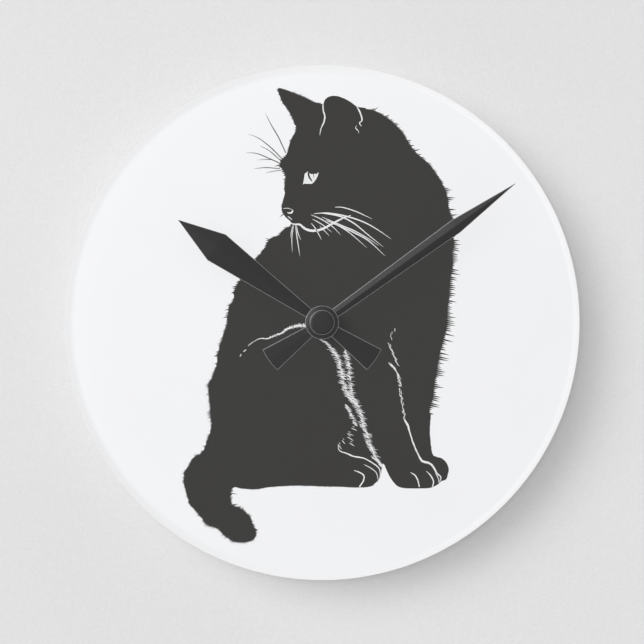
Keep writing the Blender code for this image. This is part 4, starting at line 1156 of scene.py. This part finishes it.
def one_sided(tree, shader):
    """Output the shader on front faces only."""
    backfacing = add(tree, "NewGeometry").outputs["Backfacing"]
    clear = add(tree, "BsdfTransparent").outputs[0]
    output(tree, mix_shader(tree, backfacing, shader, clear))


def wall_material():
    """Fine matt plaster, seen from the front only, with painted light towards the lower right."""
    material, tree, where = new_material("plaster_wall")
    fine = noise(tree, where, scale=900.0, detail=5.0, roughness=0.6)
    broad = noise(tree, where, scale=9.0)
    both = arithmetic(tree, "MULTIPLY_ADD", fine, 0.65,
                      arithmetic(tree, "MULTIPLY", broad, 0.35))
    colour = blend(tree, mapped(tree, both, (0.35, 0.65)), linear_grey(219), linear_grey(214))
    # painted light: the plaster colour is made lighter away from the lamp, to even out the lamp's
    # fall-off
    slope = vector_math(tree, "DOT_PRODUCT", "Value", {0: where, 1: (0.8, 0, -0.6)})
    lift = smooth(tree, slope, (-0.05, 0.15), (1.0, 1.045))
    one_sided(tree, principled(tree, {
        "Base Color": vector_math(tree, "SCALE", 0, {0: colour, "Scale": lift}),
        "Roughness": 0.95,
        "Specular IOR Level": 0.1,
        "Normal": bumped(tree, fine, strength=0.35, distance=0.0004)}))
    return material


def floor_material():
    material, tree, where = new_material("pale_floor")
    cloud = noise(tree, where, scale=14.0, detail=4.0)
    one_sided(tree, principled(tree, {
        "Base Color": blend(tree, cloud, (0.52, 0.52, 0.52), (0.49, 0.49, 0.49)),
        "Roughness": 0.8}))
    return material


def sheet(name, corners, material):
    bm = bmesh.new()
    bm.faces.new([bm.verts.new(corner) for corner in corners])
    ob = link_object(name, make_mesh(name, bm, [material]))
    return ob


def room():
    side = ROOM_HALF
    wall = sheet("wall", [(-side, WALL_Y, FLOOR_Z), (side, WALL_Y, FLOOR_Z),
                          (side, WALL_Y, ROOM_HEIGHT), (-side, WALL_Y, ROOM_HEIGHT)],
                 wall_material())
    wall.visible_shadow = False
    floor = sheet("floor", [(-side, -side, FLOOR_Z), (side, -side, FLOOR_Z),
                            (side, side, FLOOR_Z), (-side, side, FLOOR_Z)], floor_material())
    # the floor shows but throws nothing back
    floor.visible_glossy = False
    floor.visible_diffuse = False
    floor.visible_transmission = False


def surround():
    """A pale room: what polished faces mirror is brighter than what it sheds."""
    world = bpy.data.worlds.new("studio")
    bpy.context.scene.world = world
    world.use_nodes = True
    tree = world.node_tree
    path = add(tree, "LightPath").outputs
    mirrored = arithmetic(tree, "MAXIMUM", path["Is Glossy Ray"], path["Is Camera Ray"])
    level = add(tree, "Mix", {0: mirrored, 2: FILL, 3: MIRROR}, data_type="FLOAT").outputs[0]
    background = tree.nodes["Background"]
    feed(tree, background.inputs[0], (1.0, 1.0, 1.0, 1))
    feed(tree, background.inputs[1], level)


def area(name, location, aim, size, power):
    light = bpy.data.lights.new(name, "AREA")
    light.energy = power
    light.size = size
    ob = link_object(name, light)
    ob.location = location
    ob.rotation_euler = (Vector(aim) - Vector(location)).to_track_quat("-Z", "Y").to_euler()
    return ob


def lights():
    key = area("key", location=(-1.88, -2.57, 1.11), aim=AIM, size=2.15, power=77.5)
    # the clear sheet would only mirror the two front lights
    apart = bpy.data.collections.new("not_lit_by_key")
    apart.objects.link(bpy.data.objects["acrylic_sheet"])
    key.light_linking.receiver_collection = apart
    apart.collection_objects[0].light_linking.link_state = "EXCLUDE"
    key.visible_camera = False
    front = area("front_fill", location=(-0.1, -2.6, 0.1), aim=AIM, size=0.35, power=32.2)
    front.light_linking.receiver_collection = apart
    front.visible_glossy = False
    front.visible_camera = False
    # Light for the rear, which adds nothing to what the wall throws back.
    rear = area("rear_light", location=(0.5, 1.2, 0.5), aim=(0, 0, 0), size=0.9, power=9.0)
    rear.data.use_nodes = True
    tree = rear.data.node_tree
    bounces = add(tree, "LightPath").outputs["Diffuse Depth"]
    feed(tree, tree.nodes["Emission"].inputs["Strength"],
         arithmetic(tree, "LESS_THAN", bounces, 0.5))


def camera():
    data = bpy.data.cameras.new("camera")
    data.lens = 200.0
    data.sensor_width = 36.0
    data.clip_start = 0.05
    ob = link_object("camera", data)
    ob.location = (0.0, -1.4332, 0.0002)
    ob.rotation_euler = (math.radians(90), 0, 0)
    bpy.context.scene.camera = ob


acrylic_sheet()
white_layer()
cat()
hands()
dry_cell()
finish_cad_nodes()
room()
surround()
lights()
camera()

bpy.context.scene.view_settings.view_transform = "Standard"
